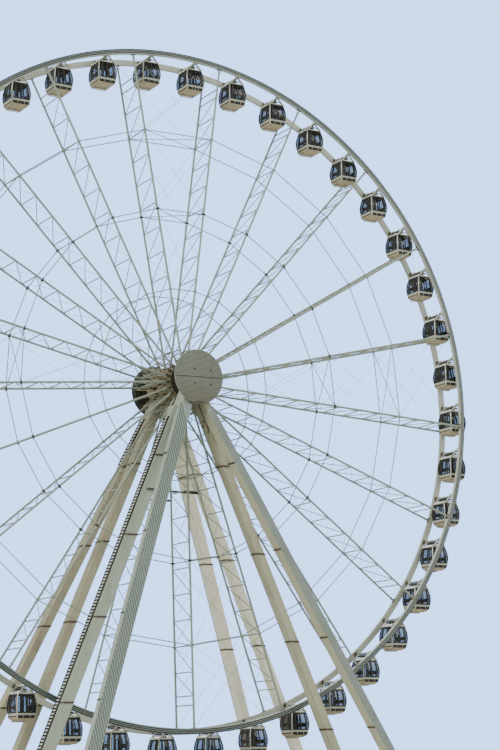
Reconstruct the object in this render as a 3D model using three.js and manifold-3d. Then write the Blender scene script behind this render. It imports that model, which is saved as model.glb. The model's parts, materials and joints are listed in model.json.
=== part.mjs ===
// Observation wheel with 42 closed cabins, a model at half the real size.
// Millimetres, +Z up, wheel axis along Y, origin on the ground under the hub.

import * as THREE from 'three';
import { mergeVertices } from 'three/addons/utils/BufferGeometryUtils.js';
import Module from 'manifold-3d';

const wasm = await Module();
wasm.setup();

// Scale: one metre of the real wheel, in millimetres of this model
const m = 500;

// Running gaps, in model millimetres
const gap = 0.3;
const boreClearance = 0.5;

// Wheel
const hubHeight = 32.7 * m;
const rimOuter = 27.3 * m;
const rimDepth = 0.45 * m;
const rimWidth = 0.25 * m;
const rimOffset = 1.4 * m;
const rimSides = 84;

// Cabins
const cabinCount = 42;
const cabinStep = (2 * Math.PI) / cabinCount;
const firstCabinAngle = THREE.MathUtils.degToRad(-31.08);
const cabinAxleRadius = 27.075 * m;
const axleRadius = 0.08 * m;
const axleSides = 8;

// Spokes, each a flat ladder of two tubes and cross rungs
const spokeCount = 21;
const spokesPerSet = 3;
const spokeTube = 0.17 * m;
const spokeDepth = 0.16 * m;
const rungWidth = 0.1 * m;
const topRungRadius = 25.1 * m;
const secondRungRadius = 20.6 * m;
const rungStep = 4 * m;
const rungRows = 5;
const shoeTop = 1.75 * m;
const shoeDepth = 0.26 * m;
const shoeRim = 0.04 * m;

// Hub
const drumOuter = 1.25 * m;
const drumInner = 0.9 * m;
const drumHalfLength = 1.54 * m;
const journalRadius = 0.45 * m;
const journalEnd = 3.3 * m;

// Bearing housings with their round cover discs
const housingRadius = 0.95 * m;
const housingInner = 1.6 * m;
const coverRadius = 2.13 * m;
const coverInner = 3.35 * m;
const coverOuter = 3.65 * m;
const housingSides = 36;

// Legs: sloping boxes whose level section is a rectangle
const legWidth = 0.72 * m;
const legDepth = 0.95 * m;
const legSpread = 0.429;
const outerLegOffset = 2.285 * m;
const outerLegLean = 0.265;
const innerLegOffset = 2.15 * m;
const innerLegLean = 0.02;
const legTopDrop = 0.4 * m;
const footPlate = 1.35 * m;
const footPlateThickness = 0.12 * m;

// Base of steel sills on the ground
const sillHeight = 0.6 * m;
const sillWidth = 1.1 * m;
const tieWidth = 0.7 * m;
const sillOverhang = 0.85 * m;

// Boarding deck and its steps
const deckLength = 10 * m;
const deckHalfWidth = 4.8 * m;
const deckTop = 2.7 * m;
const deckThickness = 0.25 * m;
const deckPost = 0.25 * m;
const stairWidth = 4 * m;
const stairRisers = 14;
const treadDepth = 0.28 * m;

// Colours of the paint and metal
const paint = {
  cream: 0xcfcfb9,
  greyGreen: 0x8f9a92,
  beige: 0xb9b09a,
  steel: 0x7b7f82,
  deck: 0x6f6f6c,
};

function material(color, metalness = 0.3) {
  return new THREE.MeshStandardMaterial({ color, roughness: 0.5, metalness });
}

// A closed geometry as a solid that can be joined and cut
function solid(geometry) {
  const bare = geometry.index ? geometry.toNonIndexed() : geometry.clone();
  bare.deleteAttribute('normal');
  bare.deleteAttribute('uv');
  const merged = mergeVertices(bare, 1e-3);
  const mesh = new wasm.Mesh({
    numProp: 3,
    vertProperties: new Float32Array(merged.attributes.position.array),
    triVerts: new Uint32Array(merged.index.array),
  });
  return new wasm.Manifold(mesh);
}

// The faces of a solid as a three.js geometry
function geometryOf(body) {
  const mesh = body.getMesh();
  const geometry = new THREE.BufferGeometry();
  geometry.setAttribute('position', new THREE.BufferAttribute(mesh.vertProperties, 3));
  geometry.setIndex(new THREE.BufferAttribute(mesh.triVerts, 1));
  geometry.computeVertexNormals();
  return geometry;
}

function block(x0, x1, y0, y1, z0, z1) {
  const box = new THREE.BoxGeometry(x1 - x0, y1 - y0, z1 - z0);
  return box.translate((x0 + x1) / 2, (y0 + y1) / 2, (z0 + z1) / 2);
}

// A body turned about the wheel's axis from radius and axial place pairs
function turned(profile, sides, start = 0) {
  const points = profile.map(([radius, along]) => new THREE.Vector2(radius, along));
  return new THREE.LatheGeometry(points, sides, start);
}

function polygon(points) {
  return new THREE.Shape(points.map(([x, y]) => new THREE.Vector2(x, y)));
}

// The angle of a spoke, clockwise from the top, halfway between two cabins
function spokeAngle(index) {
  return firstCabinAngle + (2 * index + 0.5) * cabinStep;
}

function cabinAngle(index) {
  return firstCabinAngle + index * cabinStep;
}

// Place on the wheel at an angle from the top, seen from the front
function onWheel(angle, radius) {
  return [radius * Math.sin(angle), radius * Math.cos(angle)];
}

// One box-section rim, side -1 at the front
function rim(side) {
  const inner = rimOuter - rimDepth;
  const low = side * rimOffset - rimWidth / 2;
  const high = side * rimOffset + rimWidth / 2;
  const section = [[inner, low], [rimOuter, low], [rimOuter, high], [inner, high], [inner, low]];
  return turned(section, rimSides, firstCabinAngle);
}

// Radii of the rungs of one ladder spoke, from the rim inward
function rungRadii() {
  const radii = [topRungRadius];
  for (let row = 0; row < rungRows; row += 1) radii.push(secondRungRadius - row * rungStep);
  return radii;
}

// Turns a flat outline of axial place and height into a plate across the wheel
function acrossWheel(plate) {
  return plate.applyMatrix4(new THREE.Matrix4().makeBasis(
    new THREE.Vector3(0, 1, 0), new THREE.Vector3(0, 0, 1), new THREE.Vector3(1, 0, 0)));
}

// A ladder spoke pointing up in its shoe, with the cabins' path left free above its top rung
function ladder() {
  const end = rimOuter - rimDepth - (spokeDepth / 2) * Math.tan(Math.PI / rimSides) - gap;
  const start = shoeTop - spokeTube;
  const inside = rimOffset - spokeTube / 2;
  const outside = rimOffset + spokeTube / 2;
  const radii = rungRadii();
  const throat = radii[0] + rungWidth / 2;
  const outline = polygon([
    [-outside, start], [outside, start], [outside, end], [inside, end],
    [inside, throat], [-inside, throat], [-inside, end], [-outside, end],
  ]);
  for (let row = 0; row < radii.length; row += 1) {
    const top = radii[row] - rungWidth / 2;
    const bottom = row + 1 < radii.length ? radii[row + 1] + rungWidth / 2 : shoeTop - spokeTube / 2;
    outline.holes.push(polygon([[-inside, bottom], [inside, bottom], [inside, top], [-inside, top]]));
  }
  const plate = new THREE.ExtrudeGeometry(outline, { depth: spokeDepth, bevelEnabled: false });
  acrossWheel(plate.translate(0, 0, -spokeDepth / 2));
  const shoe = block(-shoeDepth / 2, shoeDepth / 2, -outside - shoeRim, outside + shoeRim,
    drumInner + shoeRim, shoeTop);
  return geometryOf(solid(plate).add(solid(shoe)));
}

// A sector of the hub drum, with one flat for the shoe of each spoke of its set
function drumSector(middle, span) {
  const trim = gap / drumInner;
  const from = middle - span / 2 + trim;
  const to = middle + span / 2 - trim;
  const steps = spokesPerSet;
  const arc = (radius, first, last) => {
    const points = [];
    for (let step = 0; step <= steps; step += 1) {
      points.push(onWheel(first + ((last - first) * step) / steps, radius));
    }
    return points;
  };
  const outline = polygon([...arc(drumOuter, from, to), ...arc(drumInner + gap, to, from)]);
  const sector = new THREE.ExtrudeGeometry(outline, { depth: 2 * drumHalfLength, bevelEnabled: false });
  return sector.rotateX(Math.PI / 2).translate(0, drumHalfLength, 0);
}

function spokeSet(set) {
  const middle = spokeAngle(set * spokesPerSet + 1);
  let body = solid(drumSector(middle, spokesPerSet * 2 * cabinStep));
  for (let place = 0; place < spokesPerSet; place += 1) {
    const angle = spokeAngle(set * spokesPerSet + place);
    body = body.add(solid(ladder().rotateY(angle)));
  }
  return geometryOf(body);
}

// Spindle through the drum, with the drum's flats, and a journal at each end
function spindle() {
  return turned([
    [0, -journalEnd], [journalRadius, -journalEnd], [journalRadius, -drumHalfLength],
    [drumInner, -drumHalfLength], [drumInner, drumHalfLength], [journalRadius, drumHalfLength],
    [journalRadius, journalEnd], [0, journalEnd],
  ], spokeCount, spokeAngle(0) - cabinStep);
}

// Bearing housing and cover disc on one side of the wheel, side -1 at the front
function housing(side) {
  const bore = (journalRadius + boreClearance) / Math.cos(Math.PI / housingSides);
  const profile = [
    [0, journalEnd + gap], [bore, journalEnd + gap], [bore, housingInner], [housingRadius, housingInner],
    [housingRadius, coverInner], [coverRadius, coverInner], [coverRadius, coverOuter], [0, coverOuter],
  ].map(([radius, along]) => [radius, side * along]);
  if (side < 0) profile.reverse();
  return turned(profile, housingSides);
}

// One sloping leg from under the hub down to its foot plate on the sill
function leg(sideX, sideY, offset, lean) {
  const foot = hubHeight - sillHeight - gap;
  const length = foot - legTopDrop;
  const box = block(-legWidth / 2, legWidth / 2, -legDepth / 2, legDepth / 2,
    -foot + footPlateThickness / 2, -foot + length);
  const shear = new THREE.Matrix4().set(
    1, 0, -sideX * legSpread, 0,
    0, 1, -sideY * lean, sideY * offset,
    0, 0, 1, hubHeight,
    0, 0, 0, 1);
  const x = sideX * legSpread * foot;
  const y = sideY * (offset + lean * foot);
  const floor = sillHeight + gap;
  const plate = block(x - footPlate / 2, x + footPlate / 2, y - footPlate / 2, y + footPlate / 2,
    floor, floor + footPlateThickness);
  return solid(box.applyMatrix4(shear)).add(solid(plate));
}

// An outer and an inner leg that meet under the bearing housing
function legPair(sideX, sideY) {
  const pair = leg(sideX, sideY, outerLegOffset, outerLegLean)
    .add(leg(sideX, sideY, innerLegOffset, innerLegLean));
  const reach = 3 * m;
  const otherHalf = block(sideX > 0 ? -reach : -gap, sideX > 0 ? gap : reach,
    -2 * reach, 2 * reach, hubHeight - reach, hubHeight + reach);
  const socket = turned([
    [0, -2 * reach], [housingRadius + gap, -2 * reach], [housingRadius + gap, 2 * reach], [0, 2 * reach],
  ], housingSides).translate(0, 0, hubHeight);
  return geometryOf(pair.subtract(solid(otherHalf)).subtract(solid(socket)));
}

// Where the feet stand on the sills
const footDrop = hubHeight - sillHeight;
const footX = legSpread * footDrop;
const outerFootY = outerLegOffset + outerLegLean * footDrop;
const innerFootY = innerLegOffset + innerLegLean * footDrop;

// Two sills under the feet, tied together across the wheel
function baseFrame() {
  let frame = null;
  for (const side of [-1, 1]) {
    const reach = outerFootY + sillOverhang;
    const sill = solid(block(side * footX - sillWidth / 2, side * footX + sillWidth / 2, -reach, reach,
      0, sillHeight));
    frame = frame ? frame.add(sill) : sill;
  }
  for (const side of [-1, 1]) {
    const y = side * innerFootY;
    frame = frame.add(solid(block(-footX, footX, y - tieWidth / 2, y + tieWidth / 2, 0, sillHeight)));
  }
  return geometryOf(frame);
}

// Flight of steps up to the front of the deck, a stepped outline swept across its width
function steps() {
  const rise = deckTop / stairRisers;
  const back = -deckHalfWidth;
  const front = back - (stairRisers - 1) * treadDepth;
  const outline = [[front, 0]];
  for (let step = 0; step < stairRisers - 1; step += 1) {
    outline.push([front + step * treadDepth, (step + 1) * rise]);
    outline.push([front + (step + 1) * treadDepth, (step + 1) * rise]);
  }
  const top = deckTop - rise;
  outline.push([back + deckPost, top], [back + deckPost, top - deckThickness], [back, top - deckThickness]);
  outline.push([back, 0]);
  const flight = new THREE.ExtrudeGeometry(polygon(outline), { depth: stairWidth, bevelEnabled: false });
  return acrossWheel(flight).translate(-stairWidth / 2, 0, 0);
}

// Boarding deck under the lowest cabins, with its steps, on posts on the ground and on the sill ties
function boardingPlatform() {
  let platform = solid(block(-deckLength / 2, deckLength / 2, -deckHalfWidth, deckHalfWidth,
    deckTop - deckThickness, deckTop));
  const columns = 5;
  const edge = deckHalfWidth - deckPost;
  const onTie = sillHeight + gap;
  const rows = [[-edge, 0], [-innerFootY, onTie], [innerFootY, onTie], [edge, 0]];
  for (let column = 0; column < columns; column += 1) {
    const x = (deckLength - 2 * deckPost) * (column / (columns - 1) - 0.5);
    for (const [y, foot] of rows) {
      platform = platform.add(solid(block(x - deckPost / 2, x + deckPost / 2,
        y - deckPost / 2, y + deckPost / 2, foot, deckTop - deckThickness / 2)));
    }
  }
  return geometryOf(platform.add(solid(steps())));
}

// Cabin sizes, from its axle down
const cabinHalfX = 0.85 * m;
const cabinHalfY = 0.975 * m;
const cabinWall = 0.06 * m;
const roofDrop = 0.57 * m;
const floorDrop = 2.6 * m;
const windowTop = 0.74 * m;
const windowBottom = 2.05 * m;
const windowHalfX = 0.62 * m;
const windowHalfY = 0.74 * m;
const hangerOffset = 0.74 * m;
const hangerThickness = 0.07 * m;
const hangerTop = 0.13 * m;
const hangerTopHalf = 0.13 * m;
const hangerFootHalf = 0.56 * m;

// Outline of the cabin down its height: drop from the axle, and share of the full width
const cabinOutline = [[roofDrop, 0.8], [1.45 * m, 1], [2.28 * m, 0.87], [floorDrop, 0.6]];
const cabinInside = [[roofDrop + cabinWall, 0.82], [1.1 * m, 0.88], [2.28 * m, 0.87]];

// A four-sided body that swells and narrows with its height
function barrel(outline, halfX, halfY) {
  const first = outline[0][0];
  const last = outline[outline.length - 1][0];
  const profile = [
    [0, -last], ...outline.map(([drop, share]) => [share * Math.SQRT2, -drop]).reverse(), [0, -first],
  ];
  const body = turned(profile, 4, Math.PI / 4).rotateX(Math.PI / 2);
  return body.scale(halfX, halfY, 1);
}

// A hollow cabin with a window in each side, hung by a plate at each end from its axle
function cabin() {
  const outer = solid(barrel(cabinOutline, cabinHalfX, cabinHalfY));
  const inner = solid(barrel(cabinInside, cabinHalfX - cabinWall, cabinHalfY - cabinWall));
  const across = solid(block(-windowHalfX, windowHalfX, -2 * cabinHalfY, 2 * cabinHalfY,
    -windowBottom, -windowTop));
  const along = solid(block(-2 * cabinHalfX, 2 * cabinHalfX, -windowHalfY, windowHalfY,
    -windowBottom, -windowTop));
  let body = outer.subtract(inner).subtract(across).subtract(along);
  const foot = -roofDrop - cabinWall / 2;
  for (const side of [-1, 1]) {
    const plate = polygon([
      [-hangerFootHalf, foot], [hangerFootHalf, foot], [hangerTopHalf, hangerTop], [-hangerTopHalf, hangerTop],
    ]);
    const hanger = new THREE.ExtrudeGeometry(plate, { depth: hangerThickness, bevelEnabled: false });
    hanger.rotateX(Math.PI / 2).translate(0, side * hangerOffset + hangerThickness / 2, 0);
    body = body.add(solid(hanger));
  }
  const axleLength = 2 * (rimOffset - rimWidth / 2 - gap);
  const axle = new THREE.CylinderGeometry(axleRadius, axleRadius, axleLength, axleSides);
  return geometryOf(body.add(solid(axle)));
}

const group = new THREE.Group();
const wheel = new THREE.Group();
const bearings = new THREE.Group();
for (const part of [wheel, bearings]) {
  part.position.set(0, 0, hubHeight);
  group.add(part);
}

function addPiece(parent, name, geometry, finish) {
  const mesh = new THREE.Mesh(geometry, finish);
  mesh.name = name;
  parent.add(mesh);
  return mesh;
}

addPiece(wheel, 'front_rim', rim(-1), material(paint.cream));
addPiece(wheel, 'rear_rim', rim(1), material(paint.cream));
for (let set = 0; set < spokeCount / spokesPerSet; set += 1) {
  addPiece(wheel, `spoke_set_${set + 1}`, spokeSet(set), material(paint.cream));
}
addPiece(wheel, 'hub_spindle', spindle(), material(paint.steel, 0.8));
addPiece(bearings, 'front_hub_housing', housing(-1), material(paint.greyGreen));
addPiece(bearings, 'rear_hub_housing', housing(1), material(paint.greyGreen));

const cabinShape = cabin();
const cabinFinish = material(paint.cream);
for (let index = 0; index < cabinCount; index += 1) {
  const name = `cabin_${String(index + 1).padStart(2, '0')}`;
  const piece = addPiece(wheel, name, cabinShape, cabinFinish);
  const [x, z] = onWheel(cabinAngle(index), cabinAxleRadius);
  piece.position.set(x, 0, z);
}

addPiece(group, 'front_left_legs', legPair(-1, -1), material(paint.beige));
addPiece(group, 'front_right_legs', legPair(1, -1), material(paint.beige));
addPiece(group, 'rear_left_legs', legPair(-1, 1), material(paint.beige));
addPiece(group, 'rear_right_legs', legPair(1, 1), material(paint.beige));
addPiece(group, 'base_frame', baseFrame(), material(paint.steel));
addPiece(group, 'boarding_platform', boardingPlatform(), material(paint.deck));

export default group;
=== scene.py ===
"""Looks of an observation wheel with closed cabins, a model at half the real size.

The pieces are modelled in metres of the real wheel and scaled to the model when they are finished.
+Z is up, the wheel's axle lies along Y, and the front is at -Y.
"""

import json
import math
from itertools import product

import bmesh
import bpy
from bmesh.types import BMEdge, BMVert
from mathutils import Matrix, Vector

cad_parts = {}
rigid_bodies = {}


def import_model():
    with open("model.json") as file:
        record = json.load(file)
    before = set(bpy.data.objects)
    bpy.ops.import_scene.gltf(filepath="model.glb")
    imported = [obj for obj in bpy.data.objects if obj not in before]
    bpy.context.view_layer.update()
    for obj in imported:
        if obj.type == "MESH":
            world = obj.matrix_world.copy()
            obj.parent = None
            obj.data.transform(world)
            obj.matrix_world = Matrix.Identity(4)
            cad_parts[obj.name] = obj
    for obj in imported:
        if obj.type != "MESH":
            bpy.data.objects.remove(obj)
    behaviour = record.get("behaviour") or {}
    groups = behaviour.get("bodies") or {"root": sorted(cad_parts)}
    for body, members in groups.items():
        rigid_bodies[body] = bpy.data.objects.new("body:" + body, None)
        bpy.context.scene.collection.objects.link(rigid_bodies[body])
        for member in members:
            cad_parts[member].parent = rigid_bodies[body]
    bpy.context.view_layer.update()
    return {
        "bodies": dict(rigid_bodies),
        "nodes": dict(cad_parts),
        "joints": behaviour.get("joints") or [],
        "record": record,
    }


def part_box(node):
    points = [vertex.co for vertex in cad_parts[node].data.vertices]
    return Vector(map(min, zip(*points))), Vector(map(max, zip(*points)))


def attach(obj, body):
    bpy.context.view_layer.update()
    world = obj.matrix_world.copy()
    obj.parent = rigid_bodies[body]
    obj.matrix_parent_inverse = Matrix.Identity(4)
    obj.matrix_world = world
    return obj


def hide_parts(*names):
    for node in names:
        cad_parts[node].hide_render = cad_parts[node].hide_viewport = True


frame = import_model()

bl_info = {
    "name": "Observation wheel",
    "version": (1, 0, 0),
    "blender": (4, 5, 0),
    "location": "View3D > Sidebar > Wheel",
    "description": "Builds the dressed observation wheel around its packed frame",
    "category": "Object",
}

# The model is made at half of the real size
SCALE = 0.5

SIDES = ((-1, "front"), (1, "rear"))
JOINTS = {joint["name"]: joint for joint in frame["joints"]}
HUB = Vector(JOINTS["wheel_spin"]["pos_m"]) / SCALE
CABINS = sorted(name for name in frame["bodies"] if name.startswith("cabin_"))
SPOKE_COUNT = len(CABINS) // 2
SPOKE_STEP = math.tau / SPOKE_COUNT
SPOKES_PER_SET = 3
SMOOTH_ANGLE = math.radians(38)
CABIN_SMOOTH_ANGLE = math.radians(32)


def cabin_axle(name):
    """Middle of a cabin's axle, in metres of the real wheel."""
    return Vector(JOINTS[name + "_level"]["pos_m"]) / SCALE


FIRST_AXLE = cabin_axle(CABINS[0]) - HUB
FIRST_ANGLE = math.atan2(FIRST_AXLE.x, FIRST_AXLE.z)


def spoke_angle(index):
    """Angle of a spoke, clockwise from the top seen from the front."""
    return FIRST_ANGLE + (index + 0.25) * SPOKE_STEP


SPOKE_TURNS = [Matrix.Rotation(spoke_angle(index), 4, "Y") for index in range(SPOKE_COUNT)]


def on_wheel(angle, radius, along):
    """A place on the wheel, with the hub's middle at the origin."""
    return Vector((radius * math.sin(angle), along, radius * math.cos(angle)))


# Sizes and colours that a user would change

def length(name, description, default, lowest=0.001):
    return bpy.props.FloatProperty(name=name, description=description, default=default, min=lowest,
                                   subtype="DISTANCE", unit="LENGTH")


def angle(name, description, degrees):
    return bpy.props.FloatProperty(name=name, description=description, default=math.radians(degrees),
                                   subtype="ANGLE", unit="ROTATION")


def colour(name, description, default, highest=1.0):
    return bpy.props.FloatVectorProperty(name=name, description=description, default=default, size=3,
                                         min=0.0, max=highest, subtype="COLOR")


def power(name, description, default):
    return bpy.props.FloatProperty(name=name, description=description, default=default, min=0)


class WheelSizes(bpy.types.PropertyGroup):
    rim_radius: length("Rim radius", "Outer radius of the rims", 27.3)
    rim_depth: length("Rim depth", "Depth of a rim's box section", 0.45)
    rim_width: length("Rim width", "Width of a rim's box section along the axle", 0.25)
    rim_offset: length("Rim offset", "Distance of each rim from the wheel's middle plane", 1.4)
    spoke_radius: length("Spoke tube radius", "Radius of the two tubes of a ladder spoke", 0.085)
    rung_radius: length("Rung radius", "Radius of a spoke's rungs", 0.05)
    diagonal_radius: length("Diagonal radius", "Radius of the thicker diagonal in each bay", 0.036)
    stay_radius: length("Stay radius", "Radius of the thin stay rods", 0.014)
    tie_radius: length("Tie radius", "Radius of the rods that tie the spokes in rings", 0.042)


class CabinSizes(bpy.types.PropertyGroup):
    half_x: length("Half width", "Half width of a cabin across the wheel's front", 0.85)
    half_y: length("Half length", "Half length of a cabin along its axle", 0.975)
    corner: length("Corner radius", "Radius of a cabin's upright corners", 0.13)
    skin: length("Skin", "Thickness of a cabin's posts and belt", 0.05)
    glass: length("Glass", "Thickness of a pane", 0.012)


class GroundSizes(bpy.types.PropertyGroup):
    rail_height: length("Rail height", "Height of the deck's rails", 1.1)
    rail_radius: length("Rail radius", "Radius of the rail tubes", 0.03)
    rail_spacing: length("Rail spacing", "Distance between the posts of a rail", 1.25)
    ladder_width: length("Ladder width", "Width of the ladders' rungs on the legs", 0.40)


class WheelColours(bpy.types.PropertyGroup):
    wheel_paint: colour("Wheel paint", "Cream paint of the rims", (0.48, 0.51, 0.44))
    spoke_paint: colour("Spoke paint", "Olive-grey paint of the spokes and ties", (0.30, 0.345, 0.285))
    rim_paint: colour("Rim paint", "Cool grey-green paint of the rims' outboard faces", (0.34, 0.405, 0.385))
    leg_paint: colour("Leg paint", "Olive-grey paint of the front right legs", (0.43, 0.425, 0.31))
    # The front left legs' grey-green is the leg paint with painted cool skylight, a lit copy of one paint
    grey_leg_paint: colour("Grey leg paint", "Grey-green paint of the front left legs", (0.37, 0.425, 0.36))
    rear_leg_paint: colour("Rear leg paint", "Brownish paint of the rear left legs", (0.43, 0.41, 0.30))
    # The rear right legs' pale cream is the leg paint with painted sunlight, a lit copy of one paint
    pale_leg_paint: colour("Pale leg paint", "Cream paint of the rear right legs", (0.97, 0.94, 0.78))
    housing_paint: colour("Hub cover paint", "Grey-green paint of the hub covers", (0.232, 0.255, 0.218))
    strut_paint: colour("Strut paint", "Yellowed cream of the struts round the hub", (0.40, 0.34, 0.22))
    # Hub shade is painted shade: a near-black sheet inside the hub covers and a dark bed under their ridges
    hub_shade: colour("Hub shade", "Dark olive inside of the hub covers", (0.016, 0.016, 0.010))
    # The drum's near-black is brown steel darkened as painted shade between the rims; its flanges and the
    # spokes' shoes share it
    drum_steel: colour("Drum steel", "Dark brown steel of the hub drum", (0.030, 0.024, 0.016))
    cabin_paint: colour("Cabin enamel", "Cream enamel of the cabins", (0.44, 0.47, 0.40))
    cabin_roof: colour("Cabin roof", "Pale enamel of the cabin roofs", (0.80, 0.81, 0.77))
    cabin_bowl: colour("Cabin underside", "Tan moulded underside", (0.50, 0.44, 0.31))
    cabin_seat: colour("Cabin seat", "Near-black benches and lining", (0.014, 0.016, 0.02))
    seal_rubber: colour("Seal rubber", "Near-black window frames", (0.012, 0.013, 0.016))
    glass_tint: colour("Glass tint", "Tint of the cabin glass", (0.020, 0.021, 0.020))
    light_panel: colour("Light panel", "Grey-green backing of the light strips", (0.275, 0.345, 0.31))
    light_tube: colour("Light tube", "Dark grey-green light strips", (0.090, 0.118, 0.105))
    # Near-black bands in the rims' sunk grooves: light strips, darkened as painted shade in the grooves
    rim_channel: colour("Rim channel", "Dark channels along the rims", (0.026, 0.040, 0.044))
    dark_steel: colour("Dark steel", "Near-black painted steel", (0.022, 0.022, 0.022))
    collar: colour("Collar", "Weathered dark collars", (0.08, 0.065, 0.045))
    base_steel: colour("Base steel", "Grey paint of the sills", (0.20, 0.21, 0.22))
    deck_metal: colour("Deck metal", "Tread plate of the deck", (0.40, 0.40, 0.39))
    rail_metal: colour("Rail metal", "Galvanised rails", (0.48, 0.49, 0.50))


class StageSizes(bpy.types.PropertyGroup):
    camera_x: length("Camera X", "Camera place along X in the model", -34.755, -500.0)
    camera_y: length("Camera Y", "Camera place along Y in the model", -63.93, -500.0)
    camera_drop: length("Camera drop", "Camera height below the hub", 14.876, -500.0)
    heading: angle("Heading", "Camera heading, clockwise from +Y", 30.829)
    pitch: angle("Pitch", "Camera pitch above level", 11.826)
    roll: angle("Roll", "Camera roll", -0.955)
    lens: bpy.props.FloatProperty(name="Lens", description="Focal length on a 36 mm sensor",
                                  default=89.747, min=10, max=300)
    backdrop: colour("Backdrop", "Pale backdrop behind the wheel", (1.2, 1.95, 3.5), 6.0)
    soft_light: colour("Soft light", "Even light from all round", (0.62, 0.645, 0.60), 6.0)
    key_power: power("Key light", "Strength of the soft key light", 2.2)
    fill_power: power("Fill light", "Strength of the soft fill light", 0.8)
    back_power: power("Back light", "Strength of the soft light from behind", 0.9)


def sizes():
    return bpy.context.scene.wheel_sizes


# Mesh tools

def add_box(bm, size, at, bevel=0.0, move=(0, 0, 0)):
    """A box of that size with chamfered edges, moved from the origin of a matrix's frame."""
    verts = bmesh.ops.create_cube(bm, size=1.0)["verts"]
    bmesh.ops.scale(bm, vec=size, verts=verts)
    if bevel:
        edges = list({edge for vert in verts for edge in vert.link_edges})
        verts = bmesh.ops.bevel(bm, geom=edges, offset=bevel, segments=1, profile=0.5,
                                affect="EDGES", material=-1)["verts"]
    bmesh.ops.transform(bm, matrix=at @ Matrix.Translation(move), verts=verts)


def add_block(bm, low, high, bevel=0.0):
    """A box between two corners."""
    low, high = Vector(low), Vector(high)
    add_box(bm, high - low, Matrix.Translation((low + high) / 2), bevel)


def add_post(bm, x, y, half_x, half_y, low, high, bevel=0.0):
    """A box about an upright line, between two heights."""
    add_block(bm, (x - half_x, y - half_y, low), (x + half_x, y + half_y, high), bevel)


def towards(start, end):
    """Matrix that puts the origin halfway between two points, with Z along the line."""
    way = end - start
    return Matrix.Translation((start + end) / 2) @ way.to_track_quat("Z", "Y").to_matrix().to_4x4()


def add_rod(bm, start, end, radius, sides=10):
    """A round bar between two points."""
    start, end = Vector(start), Vector(end)
    bmesh.ops.create_cone(bm, cap_ends=True, segments=sides, radius1=radius, radius2=radius,
                          depth=(end - start).length, matrix=towards(start, end))


def add_bolt(bm, x, y, start, end, radius, sides=6, at=Matrix()):
    """A round bar that stands in a matrix's frame, from one height to another."""
    add_rod(bm, at @ Vector((x, y, start)), at @ Vector((x, y, end)), radius, sides)


def add_stud(bm, base, rise, radius, sides=6):
    """A round bar along the axle's direction, from its base."""
    add_rod(bm, base, base + Vector((0, rise, 0)), radius, sides)


def add_bar(bm, start, end, width, depth, bevel=0.0):
    """A flat bar between two points."""
    start, end = Vector(start), Vector(end)
    add_box(bm, (width, depth, (end - start).length), towards(start, end), bevel)


def add_turned(bm, profile, steps, start=0.0, side=1):
    """A closed profile of radius and axial place, turned a full circle about the Y axis."""
    corners = [bm.verts.new(on_wheel(start, radius, side * along)) for radius, along in profile]
    edges = [bm.edges.new((a, b)) for a, b in zip(corners, corners[1:] + corners[:1])]
    bmesh.ops.spin(bm, geom=corners + edges, cent=(0, 0, 0), axis=(0, 1, 0), dvec=(0, 0, 0),
                   angle=math.tau, steps=steps, use_merge=True)


def add_band(bm, inner, outer, near, far, steps, start=0.0, side=1):
    """A ring between two radii and two axial places."""
    add_turned(bm, [(inner, near), (outer, near), (outer, far), (inner, far)], steps, start, side)


def add_path(bm, points, radius, sides=8):
    """Round bars through a row of points, with a ball-like joint at each bend."""
    for start, end in zip(points, points[1:]):
        add_rod(bm, start, end, radius, sides)
    for point in points[1:-1]:
        bmesh.ops.create_icosphere(bm, subdivisions=1, radius=radius * 1.03,
                                   matrix=Matrix.Translation(Vector(point)))


def made_items(made, kind):
    """The vertices or the edges that an extrusion made."""
    return [item for item in made["geom"] if isinstance(item, kind)]


def stamp(bm, mesh, matrix):
    """A copy of a small mesh, placed by a matrix."""
    before = len(bm.verts)
    bm.from_mesh(mesh)
    bm.verts.ensure_lookup_table()
    bmesh.ops.transform(bm, matrix=matrix, verts=bm.verts[before:])


def as_mesh(bm, name):
    mesh = bpy.data.meshes.new(name)
    bm.to_mesh(mesh)
    bm.free()
    return mesh


def stamp_all(bm, part, places=(Matrix(),)):
    """Copies of a part at each place, or one copy where it is."""
    mesh = as_mesh(part, "template")
    for place in places:
        stamp(bm, mesh, place)
    bpy.data.meshes.remove(mesh)


def shade(bm, limit):
    """Smooth faces with sharp edges where they meet at more than the limit."""
    for face in bm.faces:
        face.smooth = True
    for edge in bm.edges:
        edge.smooth = edge.is_manifold and edge.calc_face_angle(0.0) < limit


def place_piece(mesh, name, body, slot, replaced=()):
    mesh.materials.clear()
    mesh.materials.append(bpy.data.materials[finish_name(slot)])
    piece = bpy.data.objects.new(name, mesh)
    bpy.context.scene.collection.objects.link(piece)
    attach(piece, body)
    if replaced:
        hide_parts(*replaced)


def finish_piece(bm, name, slot, replaced=(), body="support", lift=0.0):
    """Scales a mesh made in real metres to the model, and makes it a piece on its body."""
    bmesh.ops.translate(bm, vec=(0, 0, lift), verts=bm.verts)
    bmesh.ops.scale(bm, vec=(SCALE, SCALE, SCALE), verts=bm.verts)
    bmesh.ops.recalc_face_normals(bm, faces=bm.faces)
    shade(bm, SMOOTH_ANGLE)
    place_piece(as_mesh(bm, name), name, body, slot, replaced)


def hub_piece(bm, name, slot, replaced=(), body="support"):
    """A piece that was made about the hub's middle."""
    finish_piece(bm, name, slot, replaced, body, HUB.z)


def wheel_piece(bm, name, slot, replaced=()):
    """A piece that turns with the wheel, made about the hub's middle."""
    hub_piece(bm, name, slot, replaced, "wheel")


# Shader tools

SURFACE = (("Colour", "NodeSocketColor"), ("Roughness", "NodeSocketFloat"), ("Height", "NodeSocketFloat"))


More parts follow.
